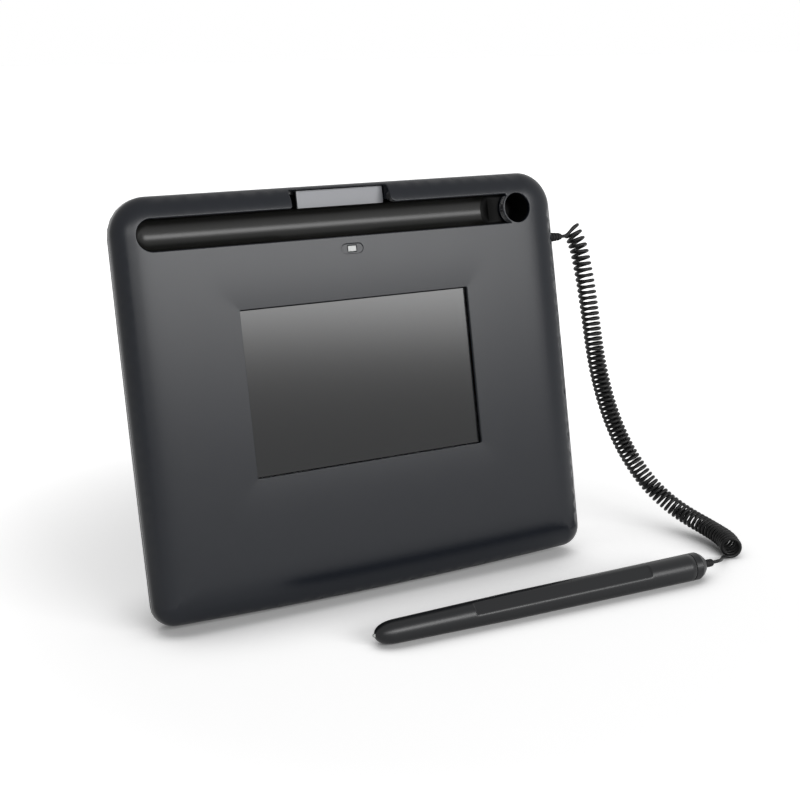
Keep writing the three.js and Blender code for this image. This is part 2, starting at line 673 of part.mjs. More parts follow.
// Display stack: gasket, glass, panel, frame, sensor board and shield.
function addDisplay() {
  const halfX = WINDOW_WIDTH / 2 + GLASS_MARGIN;
  const halfY = WINDOW_HEIGHT / 2 + GLASS_MARGIN;
  const slab = (x, y, top, thickness) => block(
    WINDOW_X - x, WINDOW_X + x, windowRise - y, windowRise + y, top - thickness, top,
  );
  const gasketHole = slab(
    halfX - GASKET_WIDTH, halfY - GASKET_WIDTH, gasketTop + OVERRUN, GASKET_THICKNESS + 2 * OVERRUN,
  );
  const gasket = slab(halfX, halfY, gasketTop, GASKET_THICKNESS).subtract(gasketHole);
  addPiece(pad, 'glass_gasket', gasket, materials.rubber);
  const raised = slab(
    WINDOW_WIDTH / 2 - GAP, WINDOW_HEIGHT / 2 - GAP, glassTop + GLASS_RISE, GLASS_RISE + GLASS_THICKNESS,
  );
  const glass = slab(halfX, halfY, glassTop, GLASS_THICKNESS).add(raised);
  addPiece(pad, 'cover_glass', glass, materials.glass);
  const innerX = halfX - GLASS_MARGIN;
  const innerY = halfY - GLASS_MARGIN;
  addPiece(pad, 'display_panel', slab(innerX, innerY, panelTop, PANEL_THICKNESS), materials.panel);
  addPiece(pad, 'sensor_board', slab(innerX, innerY, sensorTop, SENSOR_THICKNESS), materials.board);
  addPiece(pad, 'shield_plate', slab(innerX, innerY, shieldTop, SHIELD_THICKNESS), materials.steel);
  const frameHeight = panelTop - shieldTop + SHIELD_THICKNESS;
  const frameHole = slab(innerX + GAP, innerY + GAP, panelTop + OVERRUN, frameHeight + 2 * OVERRUN);
  const frame = slab(innerX + GAP + FRAME_WIDTH, innerY + GAP + FRAME_WIDTH, panelTop, frameHeight);
  const doorHalf = RIBBON_WIDTH / 2 + OVERRUN;
  const panelSide = WINDOW_X + innerX;
  const door = block(
    panelSide, panelSide + FRAME_WIDTH + OVERRUN, windowRise - doorHalf, windowRise + doorHalf,
    panelTop - PANEL_THICKNESS, panelTop + OVERRUN,
  );
  addPiece(pad, 'display_frame', frame.subtract(frameHole).subtract(door), materials.frame);
  addRibbon(panelSide);
}

// The flat cable from the display panel down to its socket on the main board.
function addRibbon(panelSide) {
  const socketTop = boardTop + GAP + RIBBON_SOCKET_HEIGHT;
  const level = panelTop - PANEL_THICKNESS / 2;
  const left = panelSide + GAP;
  const right = panelSide + FRAME_WIDTH + RIBBON_REACH;
  const outline = [
    [left, level], [right, level], [right, socketTop + GAP], [right - RIBBON_THICKNESS, socketTop + GAP],
    [right - RIBBON_THICKNESS, level - RIBBON_THICKNESS], [left, level - RIBBON_THICKNESS],
  ];
  const shape = new THREE.Shape(outline.map(([x, z]) => new THREE.Vector2(x, z)));
  const geometry = new THREE.ExtrudeGeometry(shape, { depth: RIBBON_WIDTH, bevelEnabled: false });
  geometry.rotateX(Math.PI / 2);
  geometry.translate(0, windowRise + RIBBON_WIDTH / 2, 0);
  addPiece(pad, 'display_ribbon', solid(geometry), materials.copper);
  const middle = right - RIBBON_THICKNESS / 2;
  addPiece(pad, 'ribbon_socket', block(
    middle - RIBBON_SOCKET_WIDTH / 2, middle + RIBBON_SOCKET_WIDTH / 2,
    windowRise - RIBBON_WIDTH / 2 - OVERRUN, windowRise + RIBBON_WIDTH / 2 + OVERRUN,
    boardTop + GAP, socketTop,
  ), materials.frame);
}

// Pen tray: a half-round trough with a round end, and a ledge at the pen holder's side.
function penTray() {
  const trayEnd = CUP_X - CUP_RADIUS * 0.7;
  const trough = (radius, top) => {
    const bar = barX(radius, TRAY_RADIUS - TRAY_LEFT, trayEnd, trayRise, trayTop, TRAY_SIDES);
    const ball = new THREE.SphereGeometry(radius, TRAY_SIDES, TRAY_SIDES / 2);
    ball.rotateZ(Math.PI / 2);
    ball.translate(TRAY_RADIUS - TRAY_LEFT, trayRise, trayTop);
    const low = block(-PAD_WIDTH, PAD_WIDTH, 0, PAD_HEIGHT, -PAD_DEPTH, top);
    return bar.add(solid(ball)).intersect(low);
  };
  // The groove ends at a ledge, which leaves room for the pen's cord beside the pen holder.
  const ledge = block(TRAY_END, PAD_WIDTH, 0, PAD_HEIGHT, -PAD_DEPTH, trayTop - LEDGE_DEPTH);
  const groove = trough(TRAY_RADIUS, trayTop + OVERRUN).subtract(ledge);
  const body = trough(TRAY_RADIUS + TRAY_WALL, trayTop).subtract(groove);
  const cup = barZ(CUP_RADIUS + CUP_WALL + GAP, CUP_X, trayRise, -PAD_DEPTH, PAD_DEPTH, HOLE_SIDES);
  const notch = block(notchLeft, notchRight, trayRise, PAD_HEIGHT, notchUnder + NOTCH_FLOOR, PAD_DEPTH);
  return body.subtract(cup).subtract(notch);
}

// Pen holder: a deep round cup beside the tray, in which the pen can stand.
function penCup() {
  const under = REAR_FLOOR + CUP_LIFT;
  const outer = barZ(CUP_RADIUS + CUP_WALL, CUP_X, trayRise, under, cupTop, HOLE_SIDES);
  return outer.subtract(barZ(CUP_RADIUS, CUP_X, trayRise, under + CUP_WALL, cupTop + OVERRUN, HOLE_SIDES));
}

// The bare plate on the floor of the finger notch.
function namePlate() {
  return block(
    PLATE_X - PLATE_WIDTH / 2, PLATE_X + PLATE_WIDTH / 2, plateLow, notchTop - GAP, plateUnder, plateTop,
  );
}

// Status light: lens, lamp and its small board.
function addLight() {
  const lensTop = PAD_DEPTH - LIGHT_POCKET_DEPTH / 2;
  const centred = (length, width, z0, z1) => block(
    LIGHT_X - length / 2, LIGHT_X + length / 2, lightRise - width / 2, lightRise + width / 2, z0, z1,
  );
  addPiece(pad, 'light_lens', centred(LENS_LENGTH, LENS_WIDTH, roofUnder, lensTop), materials.lens);
  const ledTop = roofUnder - GAP;
  addPiece(pad, 'status_led', centred(LED_LENGTH, LED_WIDTH, ledTop - LED_HEIGHT, ledTop), materials.lens);
  const ledBoardTop = ledTop - LED_HEIGHT - GAP;
  addPiece(pad, 'light_board', centred(
    LED_BOARD_LENGTH, LED_BOARD_WIDTH, ledBoardTop - BOARD_THICKNESS, ledBoardTop,
  ), materials.board);
}

// Main board with its chip, the data socket and the pen lead's connector.
function addBoards() {
  const boardLow = boardTop - BOARD_THICKNESS;
  const right = BOARD_LEFT + BOARD_WIDTH;
  const main = block(BOARD_LEFT, right, boardLowEdge, boardLowEdge + boardHeight, boardLow, boardTop);
  const tab = block(
    right - OVERRUN, right + BOARD_TAB_WIDTH, boardTabLow, boardTabLow + BOARD_TAB_HEIGHT, boardLow, boardTop,
  );
  addPiece(pad, 'main_board', main.add(tab), materials.board);
  const chipLeft = BOARD_LEFT + (BOARD_WIDTH - CHIP_SIZE) / 2;
  addPiece(pad, 'controller_chip', block(
    chipLeft, chipLeft + CHIP_SIZE, chipLow, chipLow + CHIP_SIZE,
    boardTop + GAP, boardTop + GAP + CHIP_HEIGHT,
  ), materials.chip);
  const half = SOCKET_WIDTH / 2;
  const socketTop = socketLow + SOCKET_HEIGHT;
  const shell = block(
    socketEnd - SOCKET_LENGTH, socketEnd, socketY - half, socketY + half, socketLow, socketTop,
  );
  const mouth = block(
    socketEnd - SOCKET_DEPTH, socketEnd + OVERRUN,
    socketY - half + SOCKET_SHELL, socketY + half - SOCKET_SHELL,
    socketLow + SOCKET_SHELL, socketTop - SOCKET_SHELL,
  );
  const tongue = block(
    socketEnd - SOCKET_DEPTH - SOCKET_SHELL, socketEnd - 2 * SOCKET_SHELL,
    socketY - half / 2, socketY + half / 2,
    socketLow + (SOCKET_HEIGHT - SOCKET_SHELL) / 2, socketLow + (SOCKET_HEIGHT + SOCKET_SHELL) / 2,
  );
  addPiece(pad, 'data_socket', shell.subtract(mouth).add(tongue), materials.steel);
  const plugLow = boardTop + GAP;
  addPiece(pad, 'lead_connector', block(
    right - LEAD_PLUG_LENGTH, right, leadPlugRise, leadPlugRise + LEAD_PLUG_WIDTH,
    plugLow, plugLow + LEAD_PLUG_HEIGHT,
  ), materials.frame);
  addInnerLead(right, plugLow + LEAD_PLUG_HEIGHT / 2);
}

const flangeDrop = slantWall + sideTaper(REAR_DEPTH - GLAND_FLANGE_RADIUS - GAP) + GAP;
const flangeInner = PAD_WIDTH / 2 - flangeDrop - GLAND_FLANGE_THICKNESS;

// The stretch of the pen's lead between the gland and its connector.
function addInnerLead(plugSide, plugHeight) {
  const plugMiddle = leadPlugRise + LEAD_PLUG_WIDTH / 2;
  const from = new THREE.Vector3(flangeInner - GAP, glandRise, REAR_DEPTH);
  const to = new THREE.Vector3(plugSide + GAP, plugMiddle, plugHeight);
  const pull = (from.x - to.x) / 2;
  const bend = new THREE.CubicBezierCurve3(
    from, from.clone().setX(from.x - pull / 2), to.clone().setX(to.x + pull), to,
  );
  const lead = tube(bend.getPoints(LEAD_STEPS), CORD_DIAMETER / 2, SMALL_SIDES / 2);
  addPiece(pad, 'inner_lead', solid(lead), materials.cord);
}

// Cord gland: a flange inside the wall and a short ribbed sleeve outside it.
function cordGland() {
  const wallOut = PAD_WIDTH / 2;
  const ribStep = GLAND_LENGTH / (2 * GLAND_RIBS + 1);
  const outline = [
    [flangeInner, 0], [flangeInner, GLAND_FLANGE_RADIUS],
    [flangeInner + GLAND_FLANGE_THICKNESS, GLAND_FLANGE_RADIUS],
    [flangeInner + GLAND_FLANGE_THICKNESS, GLAND_RADIUS],
    [wallOut, GLAND_RADIUS],
  ];
  for (let rib = 1; rib <= 2 * GLAND_RIBS; rib += 1) {
    const along = rib * ribStep;
    const full = GLAND_RADIUS + (GLAND_TIP_RADIUS - GLAND_RADIUS) * (along / GLAND_LENGTH);
    outline.push([wallOut + along, rib % 2 ? full : full - GLAND_RIB_DEPTH]);
  }
  outline.push([wallOut + GLAND_LENGTH, GLAND_TIP_RADIUS], [wallOut + GLAND_LENGTH, 0]);
  return solid(surface(turnedX(outline, SMALL_SIDES)).translate(0, glandRise, REAR_DEPTH));
}

// A pan-head screw, driven in from the back.
function coverScrew(x, y) {
  const headTop = SCREW_HEAD_SINK + SCREW_HEAD_HEIGHT;
  const head = barZ(SCREW_HEAD_RADIUS, x, y, SCREW_HEAD_SINK, headTop);
  const driveTop = SCREW_HEAD_SINK + SCREW_DRIVE_DEPTH;
  const shank = barZ(SCREW_RADIUS, x, y, driveTop, REAR_DEPTH + SCREW_BITE, SMALL_SIDES / 2);
  const drive = barZ(SCREW_DRIVE_RADIUS, x, y, 0, driveTop, SMALL_SIDES / 2);
  return head.add(shank).subtract(drive);
}

// A soft round foot with a chamfered rim.
function roundFoot(x, y) {
  const top = FOOT_SINK - GAP;
  const low = top - FOOT_HEIGHT;
  const chamfer = FOOT_HEIGHT / 3;
  const points = [
    [0, low], [FOOT_RADIUS - chamfer, low], [FOOT_RADIUS, low + chamfer], [FOOT_RADIUS, top], [0, top],
  ];
  const geometry = new THREE.LatheGeometry(points.map(([r, z]) => new THREE.Vector2(r, z)), ROUND_SIDES);
  geometry.rotateX(Math.PI / 2);
  geometry.translate(x, y, 0);
  return solid(geometry);
}

// Stand: leg, its rubber tip and the two hinge pins.
function addStand() {
  const stand = new THREE.Group();
  stand.position.set(0, hingeRise, HINGE_DEPTH);
  stand.rotation.x = STAND_OPENING;
  pad.add(stand);
  const slant = LEAN + STAND_OPENING;
  const hingeHeight = floorDrop + hingeRise * sinLean + HINGE_DEPTH * cosLean;
  const floorY = (z) => -(hingeHeight + z * Math.cos(slant)) / Math.sin(slant);
  const half = LEG_THICKNESS / 2;
  const legEnd = Math.max(floorY(-half), floorY(half)) + LEG_TIP_LENGTH;
  // The heel reaches the recess's roof when the leg is fully open, and stops it there.
  const headroom = RECESS_DEPTH - HINGE_DEPTH - GAP - half * Math.cos(STAND_OPENING);
  const heel = Math.min(headroom / Math.sin(STAND_OPENING), RECESS_HEAD - GAP);
  const plate = prism([
    [-LEG_WIDTH / 2, heel], [-LEG_WIDTH / 2, -LEG_CORNER], [-LEG_END_WIDTH / 2, legEnd + LEG_CORNER],
    [-LEG_END_WIDTH / 2 + LEG_CORNER, legEnd], [LEG_END_WIDTH / 2 - LEG_CORNER, legEnd],
    [LEG_END_WIDTH / 2, legEnd + LEG_CORNER], [LEG_WIDTH / 2, -LEG_CORNER], [LEG_WIDTH / 2, heel],
  ], -half, half);
  const knuckle = barX(KNUCKLE_RADIUS, -LEG_WIDTH / 2, LEG_WIDTH / 2, 0, 0);
  const pocketHalf = LEG_END_WIDTH / 2 - LEG_RIB_INSET;
  const pocketLow = legEnd + LEG_CORNER + LEG_RIB_INSET;
  let leg = plate.add(knuckle);
  for (const side of [-1, 1]) {
    const edges = [side * LEG_RIB_WIDTH / 2, side * pocketHalf].sort((a, b) => a - b);
    leg = leg.subtract(block(
      edges[0], edges[1], pocketLow, -LEG_RIB_INSET, half - LEG_POCKET_DEPTH, half + OVERRUN,
    ));
    const bore = [side * (pinInner - GAP), side * LEG_WIDTH].sort((a, b) => a - b);
    leg = leg.subtract(barX(PIN_RADIUS + GAP, bore[0], bore[1], 0, 0));
  }
  addPiece(stand, 'stand_leg', leg, materials.rear);
  const tipTop = legEnd - GAP;
  const tip = [[-half, tipTop], [-half, floorY(-half)], [half, floorY(half)], [half, tipTop]];
  const shape = new THREE.Shape(tip.map(([z, y]) => new THREE.Vector2(z, y)));
  const geometry = new THREE.ExtrudeGeometry(shape, { depth: LEG_TIP_WIDTH, bevelEnabled: false });
  geometry.rotateY(Math.PI / 2);
  geometry.scale(1, 1, -1);
  geometry.translate(-LEG_TIP_WIDTH / 2, 0, 0);
  addPiece(stand, 'stand_foot', solid(flipped(geometry)), materials.rubber);
  for (const [name, side] of [['stand_pin_left', -1], ['stand_pin_right', 1]]) {
    const ends = [side * pinInner, side * pinOuter].sort((a, b) => a - b);
    addPiece(pad, name, barX(PIN_RADIUS, ends[0], ends[1], hingeRise, HINGE_DEPTH), materials.steel);
  }
}

// Turns a mirrored geometry's faces outward again.
function flipped(geometry) {
  const bare = geometry.clone();
  bare.deleteAttribute('normal');
  bare.deleteAttribute('uv');
  const merged = mergeVertices(bare);
  const index = Array.from(merged.index.array);
  for (let i = 0; i < index.length; i += 3) {
    [index[i], index[i + 1]] = [index[i + 1], index[i]];
  }
  merged.setIndex(index);
  return merged;
}

// Pen: it lies on its barrel's rear part, so its axis rises a little towards the butt.
const pen = new THREE.Group();
const penTilt = Math.atan((BUTT_RADIUS - WAIST_RADIUS) / (PEN_LENGTH - CAP_LENGTH - WAIST_LENGTH));
const penAxisHeight = WAIST_RADIUS / Math.cos(penTilt) - WAIST_LENGTH * Math.sin(penTilt);
pen.rotation.set(PEN_ROLL, -penTilt, PEN_YAW, 'ZYX');
pen.position.set(PEN_TIP[0], PEN_TIP[1], penAxisHeight);
pen.updateMatrix();
part.add(pen);
const barrelEnd = PEN_LENGTH - CAP_LENGTH - GAP;

// Barrel: a slim taper, hollow, with a long flat on one side.
function penBarrel() {
  const start = NOSE_LENGTH + GAP;
  const outer = turnedX([
    [start, 0], [start, GRIP_RADIUS], [WAIST_LENGTH, WAIST_RADIUS], [barrelEnd, BUTT_RADIUS], [barrelEnd, 0],
  ], PEN_SIDES);
  const bore = barX(GRIP_RADIUS - BARREL_WALL + GAP, start - OVERRUN, barrelEnd + OVERRUN, 0, 0, PEN_SIDES);
  const flatLevel = WAIST_RADIUS - FLAT_CUT;
  const flat = block(
    FLAT_START, FLAT_START + FLAT_LENGTH, -BUTT_RADIUS, BUTT_RADIUS, flatLevel, BUTT_RADIUS + OVERRUN,
  );
  return outer.subtract(bore).subtract(flat);
}

// Nose: a blunt bullet with a spigot that enters the barrel.
function penNose() {
  const boreRadius = NIB_RADIUS + GAP;
  const spigotRadius = GRIP_RADIUS - BARREL_WALL;
  const outline = [
    [0, 0], [0, NOSE_TIP_RADIUS], [NOSE_LENGTH / 8, NOSE_TIP_RADIUS + (GRIP_RADIUS - NOSE_TIP_RADIUS) / 2],
    [NOSE_LENGTH / 3, GRIP_RADIUS * 0.88], [NOSE_LENGTH * 0.65, GRIP_RADIUS * 0.97],
    [NOSE_LENGTH, GRIP_RADIUS], [NOSE_LENGTH, spigotRadius],
    [NOSE_LENGTH + SPIGOT_LENGTH, spigotRadius], [NOSE_LENGTH + SPIGOT_LENGTH, 0],
  ];
  const bore = barX(boreRadius, -OVERRUN, PEN_LENGTH, 0, 0);
  return turnedX(outline, PEN_SIDES).subtract(bore);
}

// End cap: chamfered in two steps, with a spigot and the strain relief's seat.
function penEndCap() {
  const spigotRadius = GRIP_RADIUS - BARREL_WALL;
  const start = PEN_LENGTH - CAP_LENGTH;
  const chamferStart = PEN_LENGTH - CAP_CHAMFER_LENGTH;
  const outline = [
    [start - SPIGOT_LENGTH, 0], [start - SPIGOT_LENGTH, spigotRadius],
    [start, spigotRadius], [start, BUTT_RADIUS],
    [chamferStart, BUTT_RADIUS], [chamferStart + CAP_CHAMFER_LENGTH / 2, CAP_MIDDLE_RADIUS],
    [PEN_LENGTH, CAP_TIP_RADIUS], [PEN_LENGTH, 0],
  ];
  const seat = barX(RELIEF_PLUG_RADIUS + GAP, PEN_LENGTH - RELIEF_PLUG_LENGTH, PEN_LENGTH + OVERRUN, 0, 0);
  return turnedX(outline, PEN_SIDES).subtract(seat);
}

// Strain relief: a short tapered sleeve plugged into the end cap.
function penRelief() {
  const plugStart = PEN_LENGTH - RELIEF_PLUG_LENGTH + GAP;
  const neck = PEN_LENGTH + GAP;
  return turnedX([
    [plugStart, 0], [plugStart, RELIEF_PLUG_RADIUS], [neck, RELIEF_PLUG_RADIUS], [neck, RELIEF_RADIUS],
    [PEN_LENGTH + RELIEF_LENGTH - RELIEF_RADIUS / 3, RELIEF_RADIUS],
    [PEN_LENGTH + RELIEF_LENGTH, RELIEF_TIP_RADIUS], [PEN_LENGTH + RELIEF_LENGTH, 0],
  ], SMALL_SIDES);
}

// Nib, its coil on a core, the pressure sensor behind it, and the pen's board.
function addPenInsides() {
  const nibEnd = NIB_LENGTH - NIB_PROUD;
  addPiece(pen, 'pen_nib', turnedX([
    [-NIB_PROUD, 0], [-NIB_PROUD, NIB_RADIUS / 2], [-NIB_PROUD / 2, NIB_RADIUS],
    [nibEnd, NIB_RADIUS], [nibEnd, 0],
  ], SMALL_SIDES), materials.lens);
  const coreStart = Math.max(COIL_CORE_START, NOSE_LENGTH + SPIGOT_LENGTH) + GAP;
  const sensorStart = nibEnd + NIB_TRAVEL + GAP;
  const core = barX(COIL_CORE_RADIUS, coreStart, sensorStart - GAP, 0, 0);
  addPiece(pen, 'pen_coil', core.subtract(barX(NIB_RADIUS + GAP, 0, PEN_LENGTH, 0, 0)), materials.copper);
  const canRadius = Math.min(SENSOR_CAN_RADIUS, GRIP_RADIUS - BARREL_WALL);
  const can = barX(canRadius, sensorStart, sensorStart + SENSOR_CAN_LENGTH, 0, 0);
  addPiece(pen, 'pressure_sensor', can, materials.steel);
  const boardStart = sensorStart + SENSOR_CAN_LENGTH + GAP;
  addPiece(pen, 'pen_board', block(
    boardStart, boardStart + PEN_BOARD_LENGTH, -PEN_BOARD_WIDTH / 2, PEN_BOARD_WIDTH / 2,
    -PEN_BOARD_THICKNESS / 2, PEN_BOARD_THICKNESS / 2,
  ), materials.board);
}

// How far along its route the coil has come after some curls, in close-wound curls.
// The curls stand further apart at the gland and in the bend on the floor.
function coilPlace(curl) {
  const top = Math.min(curl, TOP_CURLS);
  const end = Math.max(curl - CURL_COUNT + END_CURLS, 0);
  const opened = TOP_OPEN_SHARE * (top - (top * top) / (2 * TOP_CURLS));
  return curl + opened + (END_OPEN_SHARE * end * end) / (2 * END_CURLS);
}

const coilRoute = new THREE.CatmullRomCurve3(
  COIL_ROUTE.map((point) => new THREE.Vector3(...point)), false, 'centripetal',
);

// A point of the coil after some curls. It winds left-handed, and its first curls fan out.
function coilPoint(curl) {
  const share = coilPlace(curl) / coilPlace(CURL_COUNT);
  const axisX = new THREE.Vector3(1, 0, 0);
  const fan = FAN_LEAN * Math.max(0, 1 - curl / FAN_CURLS) ** 2;
  const facing = coilRoute.getTangentAt(share).addScaledVector(axisX, fan).normalize();
  const normal = axisX.addScaledVector(facing, -facing.x).normalize();
  const side = facing.clone().cross(normal);
  const swell = END_SWELL_SHARE * Math.max(0, 1 - (CURL_COUNT - curl) / END_CURLS);
  const radius = COIL_RADIUS * (1 + swell);
  const angle = 2 * Math.PI * (START_TURN - curl);
  const point = coilRoute.getPointAt(share);
  point.addScaledVector(normal, radius * Math.cos(angle));
  return point.addScaledVector(side, radius * Math.sin(angle));
}

// Which way the cord runs at a point of the coil.
function coilHeading(curl) {
  const step = curl < 1 ? 1 / CURL_STEPS ** 3 : -1 / CURL_STEPS ** 3;
  return coilPoint(curl + step).sub(coilPoint(curl)).multiplyScalar(Math.sign(step)).normalize();
}

// A lead that leaves its mouth straight for one cord diameter and bends into the coil.
function leadPoints(mouth, out, coilEnd, inward) {
  const straight = mouth.clone().addScaledVector(out, CORD_DIAMETER);
  const pull = straight.distanceTo(coilEnd) / 3;
  const bend = new THREE.CubicBezierCurve3(
    straight, straight.clone().addScaledVector(out, pull),
    coilEnd.clone().addScaledVector(inward, -pull), coilEnd,
  );
  return [mouth, ...bend.getPoints(LEAD_STEPS).slice(0, -1)];
}

// The cord's middle line from the gland to the pen.
function cordLine() {
  const glandMouth = new THREE.Vector3(PAD_WIDTH / 2 + GLAND_LENGTH + GAP, glandRise, REAR_DEPTH);
  glandMouth.applyMatrix4(pad.matrix);
  const penMouth = new THREE.Vector3(PEN_LENGTH + RELIEF_LENGTH + GAP, 0, 0).applyMatrix4(pen.matrix);
  const penOut = new THREE.Vector3(1, 0, 0).transformDirection(pen.matrix);
  const steps = Math.round(CURL_COUNT * CURL_STEPS);
  const coil = Array.from({ length: steps + 1 }, (_, i) => coilPoint(i / CURL_STEPS));
  const first = leadPoints(glandMouth, new THREE.Vector3(1, 0, 0), coil[0], coilHeading(0));
  const last = leadPoints(penMouth, penOut, coil[steps], coilHeading(CURL_COUNT).negate());
  return [...first, ...coil, ...last.reverse()];
}

// The least clear distance between stretches of the cord that are over half a curl apart.
function leastGap(points) {
  const apart = CURL_STEPS / 2 + 1;
  let least = Infinity;
  for (let i = 0; i < points.length; i += 1) {
    for (let j = i + apart; j < points.length; j += 1) {
      least = Math.min(least, points[i].distanceTo(points[j]));
    }
  }
  return least - CORD_DIAMETER;
}

function addCord() {
  const line = cordLine();
  console.log(`least gap of the curly cord to itself: ${leastGap(line).toFixed(2)} mm`);
  addPiece(part, 'curly_cord', solid(tube(line, CORD_DIAMETER / 2, CORD_SIDES)), materials.cord);
}

addPiece(pad, 'front_cover', frontCover(), materials.cover);
addPiece(pad, 'rear_cover', rearCover(), materials.rear);
addDisplay();
addPiece(pad, 'pen_tray', penTray(), materials.glossy);
addPiece(pad, 'pen_cup', penCup(), materials.glossy);
addPiece(pad, 'name_plate', namePlate(), materials.plate);
addLight();
addBoards();
addPiece(pad, 'cord_gland', cordGland(), materials.rubber);
screwPlaces.forEach(([x, y], i) => addPiece(pad, `cover_screw_${i + 1}`, coverScrew(x, y), materials.steel));
footPlaces().forEach(([x, y], i) => addPiece(pad, `rear_foot_${i + 1}`, roundFoot(x, y), materials.rubber));
addPiece(part, 'base_strip', block(
  -STRIP_LENGTH / 2, STRIP_LENGTH / 2, -STRIP_WIDTH / 2, STRIP_WIDTH / 2, 0, STRIP_THICKNESS,
), materials.rubber);
addStand();
addPiece(pen, 'pen_barrel', penBarrel(), materials.pen);
addPiece(pen, 'pen_nose', penNose(), materials.pen);
addPiece(pen, 'pen_end_cap', penEndCap(), materials.pen);
addPiece(pen, 'pen_relief', penRelief(), materials.rubber);
addPenInsides();
addCord();

export default part;
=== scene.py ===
# Desk signature pad on a fold-out stand, with a pen on a curly cord: visual model.
# Lengths are written in millimetres and turned into metres where a mesh is made.
import json
import math
import bmesh
import bpy
import numpy as np
from mathutils import Matrix, Quaternion, Vector
from mathutils.geometry import delaunay_2d_cdt


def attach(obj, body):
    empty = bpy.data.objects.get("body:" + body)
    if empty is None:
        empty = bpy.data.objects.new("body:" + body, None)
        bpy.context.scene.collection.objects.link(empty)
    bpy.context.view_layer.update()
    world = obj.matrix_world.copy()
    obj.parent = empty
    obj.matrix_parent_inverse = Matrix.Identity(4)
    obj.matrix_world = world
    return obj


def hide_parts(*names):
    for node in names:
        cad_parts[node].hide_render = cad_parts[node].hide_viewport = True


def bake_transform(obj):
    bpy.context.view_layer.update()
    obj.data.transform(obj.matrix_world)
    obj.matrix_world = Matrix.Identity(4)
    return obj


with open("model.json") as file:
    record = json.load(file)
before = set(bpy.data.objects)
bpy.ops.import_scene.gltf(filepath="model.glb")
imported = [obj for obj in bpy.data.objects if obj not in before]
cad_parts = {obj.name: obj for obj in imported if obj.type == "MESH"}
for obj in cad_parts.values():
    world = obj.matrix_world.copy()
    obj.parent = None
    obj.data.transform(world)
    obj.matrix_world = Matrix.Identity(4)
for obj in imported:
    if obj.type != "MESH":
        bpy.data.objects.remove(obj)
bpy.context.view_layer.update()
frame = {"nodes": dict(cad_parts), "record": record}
NODES = frame["nodes"]
MM = 0.001

# Camera
CAMERA_PLACE = (-0.27867, -0.53109, 0.24854)
CAMERA_PITCH = 15.19
CAMERA_TURN = 28.80
LENS = 64.8
SENSOR = 36.0

# Sizes, the same as the CAD model's (mm)
PAD_WIDTH = 211.0
PAD_HEIGHT = 177.0
PAD_DEPTH = 21.0
REAR_DEPTH = 10.5
SEAM = 0.15
CORNER_RADIUS = 16.0
BASE_CORNER_RADIUS = 9.0
BASE_BOW = 2.0
SIDE_BOW = 0.4
LEAN = math.radians(77.9)
PAD_Y = 23.1887
PAD_Z = 86.2212
SKIRT_TOP = 13.5
RIM_REACH = 22.0
RIM_POWER = 3.36
WINDOW = (54.85, 35.25)
WINDOW_X = -1.2
WINDOW_RISE = 3.7
WINDOW_CORNER = 0.7
DISH_DEPTH = 0.2
DISH_WIDTH = 20.0
DISH_POWER = 2.3
DISH_CREASE = 9.0
GLASS_TOP = 18.75
TRAY_RISE = 72.4
TRAY_RADIUS = 6.6
TRAY_LEFT = 96.1
TRAY_TOP = 18.7
TROUGH_DEPTH = 5.4
CUP_X = 84.2
CUP_RADIUS = 6.7
CUP_WEB = 1.0
CUP_EDGE = 0.28
TROUGH_END = 68.9
TROUGH_END_LENGTH = 2.6
LEDGE_HEIGHT = 16.0
LEDGE_OVERLAP = 3.2
TRAY_WALL_FOOT = 15.9
CUP_WALL_FOOT = 18.6
LENS_WALL_FOOT = 18.0
NOTCH_WALL_FOOT = 11.5
NOTCH = (-27.0, 20.0, 87.0)
NOTCH_CORNER = 2.6
LIGHT_X = -1.5
LIGHT_RISE = 60.3
LIGHT_POCKET = (10.7, 4.6, 0.35)
LENS_SIZE = (3.8, 2.3)

PEN_TIP = (-30.5, -58.6)
PEN_YAW = math.radians(-1.7)
PEN_ROLL = math.radians(43)
PEN_LENGTH = 165.0
CAP_LENGTH = 7.5
WAIST = (65.0, 5.85)
BUTT_RADIUS = 6.2
GRIP_RADIUS = 5.0
RELIEF_LENGTH = 5.6

GLAND_RISE = 57.8
GLAND_LENGTH = 8.0
CORD_DIAMETER = 1.6
COIL_RADIUS = 3.75
CURLS = 79.5
START_TURN = 0.25
TOP_CURLS = 22.0
TOP_OPEN = 0.27
END_CURLS = 8.0
END_OPEN = 0.14
END_SWELL = 0.14
FAN_CURLS = 6.0
FAN_LEAN = 0.3
COIL_STEPS = 20
COIL_SIDES = 10
COIL_ROUTE = [
    (.1227, .0298, .1474), (.1235, .0285, .1446), (.1241, .0275, .1423), (.1247, .0265, .1396),
    (.1251, .0256, .1368), (.1256, .0248, .1335), (.1262, .0239, .1290), (.1274, .0228, .1214),
    (.1286, .0218, .1127), (.1298, .0209, .1038), (.1309, .0200, .0950), (.1322, .0191, .0863),
    (.1339, .0182, .0776), (.1360, .0172, .0689), (.1384, .0159, .0604), (.1412, .0144, .0521),
    (.1443, .0124, .0440), (.1478, .0099, .0362), (.1515, .0065, .0288), (.1553, .0021, .0220),
    (.1591, -.0035, .0163), (.1626, -.0104, .0118), (.1654, -.0183, .0088), (.1672, -.0268, .0070),
    (.1672, -.0357, .0061), (.1654, -.0444, .0057), (.1615, -.0523, .0053),
]

